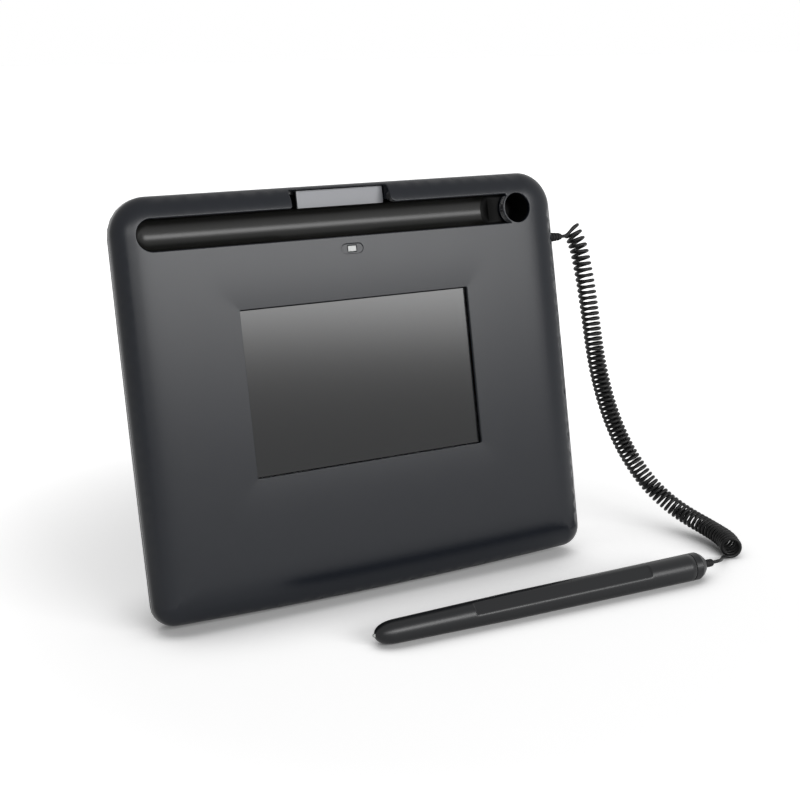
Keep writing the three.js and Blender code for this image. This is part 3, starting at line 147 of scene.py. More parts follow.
PAD = Matrix.Translation((0, PAD_Y * MM, PAD_Z * MM)) @ Matrix.Rotation(LEAN, 4, "X")
pen_tilt = math.atan((BUTT_RADIUS - WAIST[1]) / (PEN_LENGTH - CAP_LENGTH - WAIST[0]))
pen_height = WAIST[1] / math.cos(pen_tilt) - WAIST[0] * math.sin(pen_tilt)
PEN = (
    Matrix.Translation((PEN_TIP[0] * MM, PEN_TIP[1] * MM, pen_height * MM))
    @ Matrix.Rotation(PEN_YAW, 4, "Z")
    @ Matrix.Rotation(-pen_tilt, 4, "Y")
    @ Matrix.Rotation(PEN_ROLL, 4, "X")
)


# Materials
def material(name, color, roughness, bump=0.0, scale=3000.0, mottle=0.0, **sockets):
    """A plastic, rubber or metal with a fine grain in its bump, its gloss and its colour."""
    made = bpy.data.materials.new(name)
    made.use_nodes = True
    tree = made.node_tree
    shader = tree.nodes["Principled BSDF"]
    shader.inputs["Base Color"].default_value = (*color, 1)
    shader.inputs["Roughness"].default_value = roughness
    for socket, value in sockets.items():
        shader.inputs[socket.replace("_", " ")].default_value = value
    coordinates = tree.nodes.new("ShaderNodeTexCoord")
    grain = tree.nodes.new("ShaderNodeTexNoise")
    grain.inputs["Scale"].default_value = scale
    grain.inputs["Detail"].default_value = 3
    tree.links.new(coordinates.outputs["Object"], grain.inputs["Vector"])
    if bump:
        bumper = tree.nodes.new("ShaderNodeBump")
        bumper.inputs["Strength"].default_value = bump
        bumper.inputs["Distance"].default_value = 0.00005
        tree.links.new(grain.outputs["Fac"], bumper.inputs["Height"])
        tree.links.new(bumper.outputs["Normal"], shader.inputs["Normal"])
    if mottle:
        broad = tree.nodes.new("ShaderNodeTexNoise")
        broad.inputs["Scale"].default_value = scale / 40
        broad.inputs["Detail"].default_value = 4
        tree.links.new(coordinates.outputs["Object"], broad.inputs["Vector"])
        spread = tree.nodes.new("ShaderNodeMapRange")
        spread.inputs["To Min"].default_value = roughness * (1 - mottle)
        spread.inputs["To Max"].default_value = roughness * (1 + mottle)
        tree.links.new(broad.outputs["Fac"], spread.inputs["Value"])
        tree.links.new(spread.outputs["Result"], shader.inputs["Roughness"])
        ramp = tree.nodes.new("ShaderNodeMix")
        ramp.data_type = "RGBA"
        ramp.inputs[6].default_value = (*[c * (1 - mottle) for c in color], 1)
        ramp.inputs[7].default_value = (*[min(1, c * (1 + mottle)) for c in color], 1)
        tree.links.new(broad.outputs["Fac"], ramp.inputs[0])
        tree.links.new(ramp.outputs[2], shader.inputs["Base Color"])
    return made


cover_plastic = material(
    "satin_cover", (0.0045, 0.006, 0.0095), 0.26, bump=0.05, scale=3500, mottle=0.03, Specular_IOR_Level=0.27,
)
rear_plastic = material(
    "textured_rear", (0.007, 0.0075, 0.009), 0.42, bump=0.35, scale=2600,
    mottle=0.08, Specular_IOR_Level=0.27,
)
gloss_black = material(
    "gloss_black", (0.0035, 0.0035, 0.003), 0.30, bump=0.02, scale=2500, mottle=0.05, Specular_IOR_Level=0.3,
)
# a duller, darker copy of the gloss black: painted shade for the trough's end and the inside of the pen
# holder
painted_shade_black = material(
    "painted_shade_black", (0.003, 0.003, 0.003), 0.55, bump=0.05, scale=2500, Specular_IOR_Level=0.08,
)
glass = material(
    "dark_glass", (0.003, 0.0035, 0.004), 0.5, bump=0.02, scale=4000, mottle=0.03,
    Specular_IOR_Level=0.0, Coat_Weight=1.0, Coat_Roughness=0.14, Coat_IOR=1.46,
)
grey_plate = material("grey_plate", (0.18, 0.185, 0.20), 0.42, bump=0.25, scale=4000, mottle=0.05)
clear_lens = material("light_lens", (0.42, 0.43, 0.42), 0.35, bump=0.05, scale=2500, mottle=0.05)
soft_rubber = material(
    "soft_rubber", (0.006, 0.006, 0.0065), 0.62, bump=0.35, scale=2500, mottle=0.12, Specular_IOR_Level=0.2,
)
bright_steel = material(
    "bright_steel", (0.45, 0.46, 0.47), 0.32, bump=0.15, scale=3000, mottle=0.10, Metallic=1.0,
)
pen_plastic = material(
    "satin_pen", (0.003, 0.0035, 0.0045), 0.33, bump=0.04, scale=3500, mottle=0.05, Specular_IOR_Level=0.33,
)
cord_rubber = material(
    "satin_cord", (0.003, 0.003, 0.0032), 0.40, bump=0.10, scale=3000, mottle=0.10, Specular_IOR_Level=0.22,
)


# Mesh helpers
def mesh_piece(name, points, faces, finish, body, place=None, replaced=(), smooth=True):
    """A mesh piece from points in mm and faces, in the frame of the pad or the pen."""
    matrix = place or Matrix.Identity(4)
    mesh = bpy.data.meshes.new(name)
    mesh.from_pydata([matrix @ (Vector(p) * MM) for p in points], [], [tuple(f) for f in faces])
    mesh.validate()
    work = bmesh.new()
    work.from_mesh(mesh)
    bmesh.ops.recalc_face_normals(work, faces=work.faces)
    work.to_mesh(mesh)
    work.free()
    mesh.polygons.foreach_set("use_smooth", [smooth] * len(mesh.polygons))
    mesh.materials.append(finish)
    piece = bpy.data.objects.new(name, mesh)
    bpy.context.scene.collection.objects.link(piece)
    if body:
        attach(piece, body)
    if replaced:
        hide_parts(*replaced)
    return piece


def ring_faces(rows, count, closed_ends=(False, False), start=0):
    """Faces between rows of rings, each of count points."""
    faces = []
    for row in range(rows - 1):
        low = start + row * count
        for i in range(count):
            j = (i + 1) % count
            faces.append((low + i, low + j, low + count + j, low + count + i))
    if closed_ends[0]:
        faces.append(tuple(start + i for i in reversed(range(count))))
    if closed_ends[1]:
        last = start + (rows - 1) * count
        faces.append(tuple(last + i for i in range(count)))
    return faces


def turned(outline, sides):
    """Points and faces of a piece turned about the x axis from [x, radius] pairs."""
    points = []
    for x, radius in outline:
        for k in range(sides):
            angle = 2 * math.pi * k / sides
            points.append((x, radius * math.sin(angle), radius * math.cos(angle)))
    return points, ring_faces(len(outline), sides, (True, True))


def arc(cx, cy, radius, start, end, steps):
    """Points of an arc, its angles in degrees, its two ends included."""
    angles = np.radians(np.linspace(start, end, steps + 1))
    return [(cx + radius * math.cos(a), cy + radius * math.sin(a)) for a in angles]


def rounded_rectangle(cx, cy, half_x, half_y, radius, steps):
    """The outline of a rectangle with round corners, anticlockwise."""
    points = []
    for sx, sy, start in ((1, -1, -90), (1, 1, 0), (-1, 1, 90), (-1, -1, 180)):
        x, y = cx + sx * (half_x - radius), cy + sy * (half_y - radius)
        points += arc(x, y, radius, start, start + 90, steps)
    return points


def filled_in(points, step):
    """The closed outline with points added so that no stretch is longer than the step."""
    dense = []
    for a, b in zip(points, points[1:] + points[:1]):
        length = math.dist(a, b)
        if length < 1e-6:
            continue
        pieces = max(1, math.ceil(length / step))
        for k in range(pieces):
            t = k / pieces
            dense.append((a[0] + (b[0] - a[0]) * t, a[1] + (b[1] - a[1]) * t))
    return dense


def distance_to(outline, xy):
    """The distance of each point to a closed outline."""
    a = np.array(outline)
    b = np.roll(a, -1, axis=0)
    least = np.full(len(xy), 1e9)
    for start, end in zip(a, b):
        along = end - start
        square = along @ along
        t = np.clip(((xy - start) @ along) / square, 0, 1)
        gap = np.hypot(*(xy - start - t[:, None] * along).T)
        least = np.minimum(least, gap)
    return least


def inside(outline, xy):
    """Which points lie inside a closed outline."""
    a = np.array(outline)
    b = np.roll(a, -1, axis=0)
    result = np.zeros(len(xy), bool)
    for (x0, y0), (x1, y1) in zip(a, b):
        crosses = (y0 > xy[:, 1]) != (y1 > xy[:, 1])
        with np.errstate(divide="ignore", invalid="ignore"):
            at = (x1 - x0) * (xy[:, 1] - y0) / (y1 - y0) + x0
        result ^= crosses & (xy[:, 0] < at)
    return result


def grown(outline, amount):
    """The outline moved outward (for an anticlockwise outline) by an amount."""
    a = np.array(outline)
    along = np.roll(a, -1, axis=0) - np.roll(a, 1, axis=0)
    along /= np.linalg.norm(along, axis=1)[:, None]
    return [tuple(p) for p in a + amount * np.stack([along[:, 1], -along[:, 0]], 1)]


def pad_ring(inset, corner_steps=18, side_steps=30, base_inset=None):
    """The pad's outline from the front, drawn in from its edge, as in the CAD model."""
    base_inset = inset if base_inset is None else base_inset
    half_x = PAD_WIDTH / 2 - inset
    half_y = PAD_HEIGHT / 2 - (inset + base_inset) / 2
    raise_y = (base_inset - inset) / 2
    corners = []
    for sx, sy, start in ((1, -1, -90), (1, 1, 0), (-1, 1, 90), (-1, -1, 180)):
        radius = max((BASE_CORNER_RADIUS if sy < 0 else CORNER_RADIUS) - inset, 3)
        x, y = sx * (half_x - radius), sy * (half_y - radius)
        corners.append(arc(x, y, radius, start, start + 90, corner_steps))
    points = []
    for k, corner in enumerate(corners):
        points += corner
        start = corner[-1]
        end = corners[(k + 1) % 4][0]
        for i in range(1, side_steps):
            t = i / side_steps
            points.append((start[0] + (end[0] - start[0]) * t, start[1] + (end[1] - start[1]) * t))
    return [bowed(x, y + raise_y) for x, y in points]


def bowed(x, y):
    """A point of the straight outline moved to the pad's bowed sides and base."""
    across = 2 * x / PAD_WIDTH
    up = 2 * y / PAD_HEIGHT
    raised = -BASE_BOW * across * across * up if y < 0 else 0
    return (x - SIDE_BOW * up * up * across, y + raised)


def inset_of(xy):
    """How far inside the pad's edge each point lies."""
    x, y = xy[:, 0], xy[:, 1]
    across = 2 * x / PAD_WIDTH
    up = 2 * y / PAD_HEIGHT
    share = np.clip(y / 80 + 0.5, 0, 1)
    radius = BASE_CORNER_RADIUS + (CORNER_RADIUS - BASE_CORNER_RADIUS) * share * share * (3 - 2 * share)
    qx = np.abs(x + SIDE_BOW * up * up * across) - (PAD_WIDTH / 2 - radius)
    qy = np.abs(y + np.where(y < 0, BASE_BOW * across * across * up, 0)) - (PAD_HEIGHT / 2 - radius)
    most = np.maximum(qx, qy)
    soft = np.clip(-most, 0, 10) * 0.8
    blended = (qx + qy + np.sqrt((qx - qy) ** 2 + soft**2)) / 2
    outside = (qx > 0) & (qy > 0)
    return radius - np.where(outside, np.hypot(qx, qy), np.where(most > 0, most, blended))


def rim_height(inset):
    """Height of the front cover's outer surface at an inset from its edge."""
    t = 1 - np.clip(inset, 0, RIM_REACH) / RIM_REACH
    return SKIRT_TOP + (PAD_DEPTH - SKIRT_TOP) * np.sqrt(np.clip(1 - t**RIM_POWER, 0, 1))


# Openings of the front cover, all anticlockwise
tray_y1 = TRAY_RISE + TRAY_RADIUS
web_radius = CUP_RADIUS + CUP_WEB
web_angle = math.degrees(math.asin((TRAY_RADIUS - 0.9) / web_radius))
low_angle = math.degrees(math.asin(TRAY_RADIUS / web_radius))
tip_x = CUP_X - web_radius * math.cos(math.radians(web_angle))
notch_left, notch_right, notch_top = NOTCH
tray_outline = (
    arc(TRAY_RADIUS - TRAY_LEFT, TRAY_RISE, TRAY_RADIUS, 90, 270, 20)
    + arc(CUP_X, TRAY_RISE, web_radius, 180 + low_angle, 180 - web_angle, 16)
    + arc(tip_x - 0.9, tray_y1 - 0.9, 0.9, 20, 90, 4)
    + arc(notch_right + NOTCH_CORNER, tray_y1 + NOTCH_CORNER, NOTCH_CORNER, 270, 180, 8)
    + arc(notch_right - 1, notch_top - 1, 1, 0, 90, 4)
    + arc(notch_left + 1, notch_top - 1, 1, 90, 180, 4)
    + arc(notch_left - 1.2, tray_y1 + 1.2, 1.2, 0, -90, 6)
)
tray_outline = filled_in(tray_outline, 2.5)
cup_outline = arc(CUP_X, TRAY_RISE, CUP_RADIUS, 0, 360, 48)[:-1]
window_outline = filled_in(
    rounded_rectangle(WINDOW_X, WINDOW_RISE, WINDOW[0], WINDOW[1], WINDOW_CORNER, 4), 3.0
)
half_slot = LIGHT_POCKET[0] / 2 - LIGHT_POCKET[1] / 2
pocket_outline = (
    arc(LIGHT_X + half_slot, LIGHT_RISE, LIGHT_POCKET[1] / 2, -90, 90, 14)
    + arc(LIGHT_X - half_slot, LIGHT_RISE, LIGHT_POCKET[1] / 2, 90, 270, 14)
)
pocket_loop = filled_in(pocket_outline, 0.4)
lens_outline = filled_in(
    rounded_rectangle(LIGHT_X, LIGHT_RISE, LENS_SIZE[0] / 2 + 0.3, LENS_SIZE[1] / 2 + 0.3, 0.3, 4), 0.6
)
EDGE_ROUNDS = ((tray_outline, 0.55), (cup_outline, CUP_EDGE), (window_outline, 0.15), (lens_outline, 0.15))


def rounded_drop(gap, radius):
    """How much lower an edge's rounding lies at a distance from the edge."""
    t = np.clip(radius - gap, 0, radius)
    return radius - np.sqrt(np.clip(radius**2 - t**2, 0, None))


def face_height(xy):
    """Height of the front cover's face at each point."""
    z = rim_height(inset_of(xy))
    beside = np.abs(xy[:, 0] - WINDOW_X) - WINDOW[0]
    above = np.abs(xy[:, 1] - WINDOW_RISE) - WINDOW[1]
    soft = DISH_CREASE * np.clip(np.maximum(beside, above) / DISH_WIDTH, 0.04, 1)
    grow = (beside + above + np.sqrt((beside - above) ** 2 + soft**2)) / 2
    share = np.clip(1 - grow / DISH_WIDTH, 0, 1)
    z = z - DISH_DEPTH * share**DISH_POWER
    in_pocket = inside(pocket_outline, xy)
    gap = distance_to(pocket_outline, xy)
    wall = 0.3
    down = LIGHT_POCKET[2] * np.clip(gap / wall, 0, 1) ** 2 * (3 - 2 * np.clip(gap / wall, 0, 1))
    z = z - np.where(in_pocket, down, 0)
    for outline, radius in EDGE_ROUNDS:
        z = z - rounded_drop(distance_to(outline, xy), radius)
    return z


def triangulated(loops, loose):
    """A constrained triangulation of closed loops and loose points; returns points and triangles."""
    points = []
    edges = []
    for loop in loops:
        start = len(points)
        points += loop
        edges += [(start + i, start + (i + 1) % len(loop)) for i in range(len(loop))]
    points += loose
    found, _, faces, originals, _, _ = delaunay_2d_cdt([Vector(p) for p in points], edges, [], 0, 1e-4)
    index = {}
    for i, sources in enumerate(originals):
        for source in sources:
            index[source] = i
    return np.array([tuple(p) for p in found]), faces, index


def face_normals(xy):
    """The face's unit normals, from the slope of its height; nothing falls inside an opening."""
    step = 0.02
    away = xy.copy()
    for outline, _ in EDGE_ROUNDS:
        gap = distance_to(outline, away)
        near = gap < 0.03
        if near.any():
            slope = np.stack([
                distance_to(outline, away[near] + [step, 0]) - distance_to(outline, away[near] - [step, 0]),
                distance_to(outline, away[near] + [0, step]) - distance_to(outline, away[near] - [0, step]),
            ], 1)
            middle = np.array(outline).mean(axis=0)
            slope += 1e-6 * (away[near] - middle)
            slope /= np.linalg.norm(slope, axis=1)[:, None]
            away[near] += slope * 0.05
    dx = (face_height(away + [step, 0]) - face_height(away - [step, 0])) / (2 * step)
    dy = (face_height(away + [0, step]) - face_height(away - [0, step])) / (2 * step)
    normals = np.stack([-dx, -dy, np.ones(len(xy))], 1)
    return normals / np.linalg.norm(normals, axis=1)[:, None]


def face_points(border):
    """The loose points of the face: rings beside each edge, and wider rings and a grid between."""
    beside = []
    for outline, radius in EDGE_ROUNDS:
        dense = filled_in(outline, 1.2)
        for share in (0.06, 0.18, 0.38, 0.65, 1.0, 1.6):
            beside += grown(dense, share * radius)
    for offset in (0.0, -0.1, -0.2, -0.3, -0.42, 0.2, 0.5):
        beside += grown(pocket_loop, offset)
    wide = []
    for inset in (0.9, 1.3, 1.8, 2.5, 3.4, 4.5, 6, 7.8, 10, 12.5, 15, 18, 22):
        wide += pad_ring(inset, 12, 22)
    for grow in (1.2, 2.6, 4.5, 7, 10, 13.5, 18, DISH_WIDTH):
        around = rounded_rectangle(WINDOW_X, WINDOW_RISE, WINDOW[0] + grow, WINDOW[1] + grow, 0.5, 2)
        wide += filled_in(around, 4)
    wide += [(float(x), float(y)) for x in np.arange(-100, 101, 4.0) for y in np.arange(-84, 86, 4.0)]
    kept = []
    for points, clear in ((beside, 0.9), (wide, 2.0)):
        xy = np.array(points)
        keep = inside(border, xy) & (distance_to(border, xy) > 0.15)
        for outline, radius in EDGE_ROUNDS:
            least = (0.05 if clear < 1 else clear) * radius
            keep &= ~inside(outline, xy) & (distance_to(outline, xy) > least)
        if clear > 1:
            keep &= distance_to(pocket_outline, xy) > 0.6
        kept += [tuple(p) for p in xy[keep]]
    return kept


def front_cover():
    """The front cover: its face, its openings and its outer wall down to the seam."""
    border = pad_ring(0.6)
    holes = [tray_outline, cup_outline, window_outline, lens_outline]
    flat, faces, index = triangulated([border] + holes, face_points(border))
    centres = np.array([flat[list(f)].mean(axis=0) for f in faces])
    shown = inside(border, centres)
    for hole in holes:
        shown &= ~inside(hole, centres)
    heights = face_height(flat)
    normals = [tuple(n) for n in face_normals(flat)]
    points = [(p[0], p[1], z) for p, z in zip(flat, heights)]
    mesh_faces = [f for f, ok in zip(faces, shown) if ok]
    # outer wall, from the border down to the seam and in under it
    upper = [index[i] for i in range(len(border))]
    levels = [(i, float(rim_height(np.array([i]))[0])) for i in (0.38, 0.2, 0.09, 0.025, 0.0)]
    levels = [(inset, z, inset) for inset, z in levels]
    levels += [(0, SKIRT_TOP, 0), (0, REAR_DEPTH + SEAM + 0.25, 0)]
    levels += [(0.2, REAR_DEPTH + SEAM, 0.2), (2.4, REAR_DEPTH + SEAM, 2.4)]
    for inset, z, base_inset in levels:
        lower = list(range(len(points), len(points) + len(border)))
        points += [(x, y, z) for x, y in pad_ring(inset, base_inset=base_inset)]
        normals += [(0, 0, 0)] * len(border)
        for i in range(len(border)):
            j = (i + 1) % len(border)
            mesh_faces.append((upper[i], upper[j], lower[j], lower[i]))
        upper = lower
    start = len(border)
    floors = (
        (tray_outline, TRAY_WALL_FOOT), (cup_outline, CUP_WALL_FOOT),
        (window_outline, GLASS_TOP + 0.05), (lens_outline, LENS_WALL_FOOT),
    )
    for hole, floor in floors:
        loop = [index[start + i] for i in range(len(hole))]
        start += len(hole)
        below = []
        for i in loop:
            deep = floor
            over_notch = notch_left - 0.1 < points[i][0] < notch_right + 0.1
            if hole is tray_outline and over_notch and points[i][1] > tray_y1 + 0.1:
                deep = NOTCH_WALL_FOOT
            below.append(len(points))
            points.append((points[i][0], points[i][1], deep))
            normals.append((0, 0, 0))
        for i in range(len(loop)):
            j = (i + 1) % len(loop)
            mesh_faces.append((loop[i], loop[j], below[j], below[i]))
    piece = mesh_piece(
        "cover_shell", points, mesh_faces, cover_plastic, "pad", PAD, ["front_cover"],
    )
    turn = PAD.to_3x3()
    piece.data.normals_split_custom_set_from_vertices([tuple(turn @ Vector(n)) for n in normals])
    return piece


def pen_tray():
    """The glossy trough, and its end beside the pen holder in a duller, darker copy of its black: painted
    shade.
    """
    sides = 28
    left = TRAY_RADIUS - TRAY_LEFT
    rows = []
    for k in range(13):
        a = math.pi / 2 * k / 12
        rows.append((left - TRAY_RADIUS * math.cos(a), max(TRAY_RADIUS * math.sin(a), 0.03)))
    for k in range(1, 33):
        rows.append((left + (TROUGH_END - left) * k / 32, TRAY_RADIUS))
    points = []
    faces = []
    for x, radius in rows:
        for k in range(sides + 1):
            a = math.pi * k / sides
            depth = TROUGH_DEPTH * radius / TRAY_RADIUS
            points.append((x, TRAY_RISE - radius * math.cos(a), TRAY_TOP - depth * math.sin(a)))
    count = sides + 1
    for r in range(len(rows) - 1):
        for i in range(sides):
            a = r * count + i
            faces.append((a, a + 1, a + count + 1, a + count))
    mesh_piece("pen_trough", points, faces, gloss_black, "pad", PAD, ["pen_tray"])
    # the right end: a quarter-round wall that rises to a ledge beside the pen holder
    points = points[-count:]
    faces = []
    steps = 8
    previous = list(range(count))
    for s in range(1, steps + 1):
        t = s / steps
        lift = 1 - math.cos(t * math.pi / 2)
        x = TROUGH_END + TROUGH_END_LENGTH * math.sin(t * math.pi / 2)
        current = []
        for k in range(count):
            a = math.pi * k / sides
            low = TRAY_TOP - TROUGH_DEPTH * math.sin(a)
            z = low + (max(low, LEDGE_HEIGHT) - low) * lift
            current.append(len(points))
            points.append((x, TRAY_RISE - TRAY_RADIUS * math.cos(a), z))
        for i in range(sides):
            faces.append((previous[i], previous[i + 1], current[i + 1], current[i]))
        previous = current
    current = []
    for k in range(count):
        a = math.pi * k / sides
        low = TRAY_TOP - TROUGH_DEPTH * math.sin(a)
        current.append(len(points))
        y = TRAY_RISE - TRAY_RADIUS * math.cos(a)
        points.append((CUP_X - LEDGE_OVERLAP, y, max(low, LEDGE_HEIGHT)))
    for i in range(sides):
        faces.append((previous[i], previous[i + 1], current[i + 1], current[i]))
    # the end is in the duller, darker black: painted shade
    return mesh_piece("pen_trough_end", points, faces, painted_shade_black, "pad", PAD, ["pen_tray"])


def pen_cup():
    """The round pen holder: a deep tube with a dished floor, in a duller, darker black that paints the shade
    inside it.
    """
    outline = [
        (19.2, CUP_RADIUS), (4.6, CUP_RADIUS), (3.9, CUP_RADIUS - 0.6), (3.5, CUP_RADIUS - 2), (3.3, 0.05),
    ]
    outline = [(3.0, 0.05), (3.0, CUP_RADIUS + 0.9), (19.2, CUP_RADIUS + 0.9)] + outline
    points = []
    for z, radius in outline:
        points += [(x, y, z) for x, y in arc(CUP_X, TRAY_RISE, radius, 0, 360, 48)[:-1]]
    faces = ring_faces(len(outline), 48, (True, True))
    return mesh_piece(
        "pen_holder", points, faces, painted_shade_black, "pad", PAD, ["pen_cup"], smooth=False,
    )


def window_glass():
    """The cover glass with a small polished bevel around it."""
    rows = []
    bevel = 0.4
    for grow, z in ((0.0, GLASS_TOP - 1.8), (0.0, GLASS_TOP - bevel), (-bevel, GLASS_TOP)):
        rows.append([(x, y, z) for x, y in rounded_rectangle(
            WINDOW_X, WINDOW_RISE, WINDOW[0] - 0.04 + grow, WINDOW[1] - 0.04 + grow, WINDOW_CORNER + grow, 5,
        )])
    points = [p for row in rows for p in row]
    faces = ring_faces(3, len(rows[0]), (True, True))
    return mesh_piece(
        "display_glass", points, faces, glass, "pad", PAD, ["cover_glass"], smooth=False,
    )


# Pen
def pen_radius(x):
    """The pen's radius at a distance from its tip."""
    nose = 11.0
    if x < nose:
        t = 1 - x / nose
        return 0.35 + (GRIP_RADIUS - 0.35) * (1 - t**2.6) ** 0.5
    if x < WAIST[0]:
        return GRIP_RADIUS + (WAIST[1] - GRIP_RADIUS) * (x - nose) / (WAIST[0] - nose)
    return WAIST[1] + (BUTT_RADIUS - WAIST[1]) * (x - WAIST[0]) / (PEN_LENGTH - CAP_LENGTH - WAIST[0])


FLAT_ENDS = (44.5, 133.5)
FLAT_CUT = 0.75


def pen_body():
    """The barrel and nose of the pen, with the long flat cut into it."""
    sides = 96
    end = PEN_LENGTH - CAP_LENGTH - 0.1
    xs = [0.02, 0.1, 0.25, 0.5, 0.9, 1.5, 2.2, 3.1, 4.2, 5.5, 7, 9, 11, 14, 18, 23, 28, 33, 38, 42]
    xs += [FLAT_ENDS[0] + v for v in (-1, -0.4, 0, 0.3, 0.6, 1.0, 1.5, 2.2, 3, 4.5)]
    xs += list(np.linspace(FLAT_ENDS[0] + 8, FLAT_ENDS[1] - 8, 24))
    xs += [FLAT_ENDS[1] - v for v in (4.5, 3, 2.2, 1.5, 1.0, 0.6, 0.3, 0, -0.4, -1)]
    xs += [137, 141, 146, 151, 155, end - 0.15, end]
    points = []
    half_width = 3.1
    lip = 0.35
    for x in xs:
        radius = pen_radius(x)
        if x == end:
            radius -= 0.15
        for k in range(sides):
            # closer spacing around the flat's two edges
            t = k / sides
            a = 2 * math.pi * t + 0.42 * math.sin(4 * math.pi * t)
            y = radius * math.sin(a)
            z = radius * math.cos(a)
            if z > 0:
                cx = min(x - FLAT_ENDS[0], FLAT_ENDS[1] - x)
                cy = half_width - abs(y)
                corner = 1.6
                ex = corner - cx
                ey = corner - cy
                gap = min(cx, cy) if ex < 0 or ey < 0 else corner - math.hypot(ex, ey)
                share = min(max(gap / lip, 0), 1)
                share = share * share * (3 - 2 * share)
                level = WAIST[1] - FLAT_CUT + (radius - WAIST[1])
                z = z + (min(level, z) - z) * share
            points.append((x, y, z))
    faces = ring_faces(len(xs), sides, (True, True))
    return mesh_piece(
        "pen_body", points, faces, pen_plastic, "pen", PEN, ["pen_barrel", "pen_nose"],
    )


def pen_cap():
    """The chamfered cap at the pen's butt."""
    start = PEN_LENGTH - CAP_LENGTH + 0.1
    outline = [
        (start, 3.0), (start, BUTT_RADIUS - 0.15), (start + 0.15, BUTT_RADIUS),
        (161.0, BUTT_RADIUS), (161.3, 6.1),
        (162.9, 5.25), (163.1, 5.1), (164.7, 3.7), (165.0, 3.4), (165.0, 2.2), (163.5, 2.2), (163.5, 0.05),
    ]
    points, faces = turned(outline, 64)
    return mesh_piece(
        "pen_cap", points, faces, pen_plastic, "pen", PEN, ["pen_end_cap"], smooth=False,
    )


def pen_sleeve():
    """The ribbed strain relief behind the pen's cap."""
    outline = [(163.6, 0.05), (163.6, 2.1), (165.2, 2.1), (165.4, 1.85)]
    for k in range(3):
        x = 166.0 + k * 1.3
        outline += [(x, 1.8), (x + 0.15, 1.68), (x + 0.5, 1.68), (x + 0.65, 1.78)]
    outline += [(169.9, 1.72), (170.4, 1.5), (170.6, 1.1), (170.6, 0.8), (170.6, 0.05)]
    points, faces = turned(outline, 40)
    return mesh_piece(
        "pen_sleeve", points, faces, soft_rubber, "pen", PEN, ["pen_relief"], smooth=False,
    )


def gland():
    """The ribbed gland on the pad's right side, from which the cord comes."""
    wall = PAD_WIDTH / 2
    outline = [
        (wall - 4.2, 0.05), (wall - 4.2, 2.8), (wall - 2.7, 2.8),
        (wall - 2.7, 2.0), (wall + 0.3, 2.0), (wall + 0.4, 2.35),
    ]
    rib = (GLAND_LENGTH - 1.2) / 4
    for k in range(4):
        x = wall + 0.9 + k * rib
        full = 2.4 - 0.75 * (x - wall) / GLAND_LENGTH
        outline += [(x, full), (x + rib * 0.45, full - 0.05)]
        outline += [(x + rib * 0.55, full - 0.38), (x + rib * 0.9, full - 0.42)]
    outline += [(wall + GLAND_LENGTH - 0.3, 1.5), (wall + GLAND_LENGTH, 1.3), (wall + GLAND_LENGTH, 0.05)]
    points, faces = turned(outline, 40)
    points = [(x, y + GLAND_RISE, z + REAR_DEPTH) for x, y, z in points]
    return mesh_piece(
        "gland_sleeve", points, faces, soft_rubber, "pad", PAD, ["cord_gland"], smooth=False,
    )


# Curly cord
def route_samples(points, per_span=60):
    """A centripetal Catmull-Rom curve through the points, sampled finely."""
    p = [np.array(q, float) for q in points]
    p = [2 * p[0] - p[1]] + p + [2 * p[-1] - p[-2]]
    line = []
    for i in range(1, len(p) - 2):
        a, b, c, d = p[i - 1 : i + 3]
        d0, d1, d2 = (max(np.sum((v - u) ** 2) ** 0.25, 1e-9) for u, v in ((a, b), (b, c), (c, d)))
        t1 = ((b - a) / d0 - (c - a) / (d0 + d1) + (c - b) / d1) * d1
        t2 = ((c - b) / d1 - (d - b) / (d1 + d2) + (d - c) / d2) * d1
        for k in range(per_span):
            t = k / per_span
            line.append(b + t1 * t + (-3 * b + 3 * c - 2 * t1 - t2) * t**2 + (2 * b - 2 * c + t1 + t2) * t**3)
    line.append(p[-2])
    return np.array(line)


route = route_samples(COIL_ROUTE) / MM
route_length = np.concatenate([[0], np.cumsum(np.linalg.norm(np.diff(route, axis=0), axis=1))])
route_length /= route_length[-1]


def on_route(share):
    """The point at a share of the coil's route."""
    return np.array([np.interp(share, route_length, route[:, k]) for k in range(3)])


def along_route(share):
    """The direction of the coil's route at a share of it."""
    a = on_route(max(share - 0.002, 0))
    b = on_route(min(share + 0.002, 1))
    return (b - a) / np.linalg.norm(b - a)


def coil_place(curl):
    """How far along the route a curl lies, with the open curls at both ends."""
    top = min(curl, TOP_CURLS)
    end = max(curl - CURLS + END_CURLS, 0)
    return curl + TOP_OPEN * (top - top * top / (2 * TOP_CURLS)) + END_OPEN * end * end / (2 * END_CURLS)


def coil_point(curl):
    """The point on the wire at a number of curls from the start."""
    share = coil_place(curl) / coil_place(CURLS)
    x_axis = np.array([1.0, 0, 0])
    facing = along_route(share) + x_axis * FAN_LEAN * max(0, 1 - curl / FAN_CURLS) ** 2
    facing /= np.linalg.norm(facing)
    normal = x_axis - facing * facing[0]
    normal /= np.linalg.norm(normal)
    side = np.cross(facing, normal)
    radius = COIL_RADIUS * (1 + END_SWELL * max(0, 1 - (CURLS - curl) / END_CURLS))
    angle = 2 * math.pi * (START_TURN - curl)
    return on_route(share) + normal * radius * math.cos(angle) + side * radius * math.sin(angle)


def bezier(a, b, c, d, steps):
    """Points of a cubic curve between two ends."""
    ts = np.linspace(0, 1, steps + 1)[:, None]
    return (1 - ts) ** 3 * a + 3 * (1 - ts) ** 2 * ts * b + 3 * (1 - ts) * ts**2 * c + ts**3 * d


def lead(mouth, out, coil_end, inward, steps=24):
    """The wire between a mouth and the coil's end: straight first, then bent."""
    straight = mouth + out * CORD_DIAMETER
    pull = np.linalg.norm(straight - coil_end) / 3
    bend = bezier(straight, straight + out * pull, coil_end - inward * pull, coil_end, steps)
    return [mouth, mouth + out * CORD_DIAMETER / 2] + list(bend[:-1])


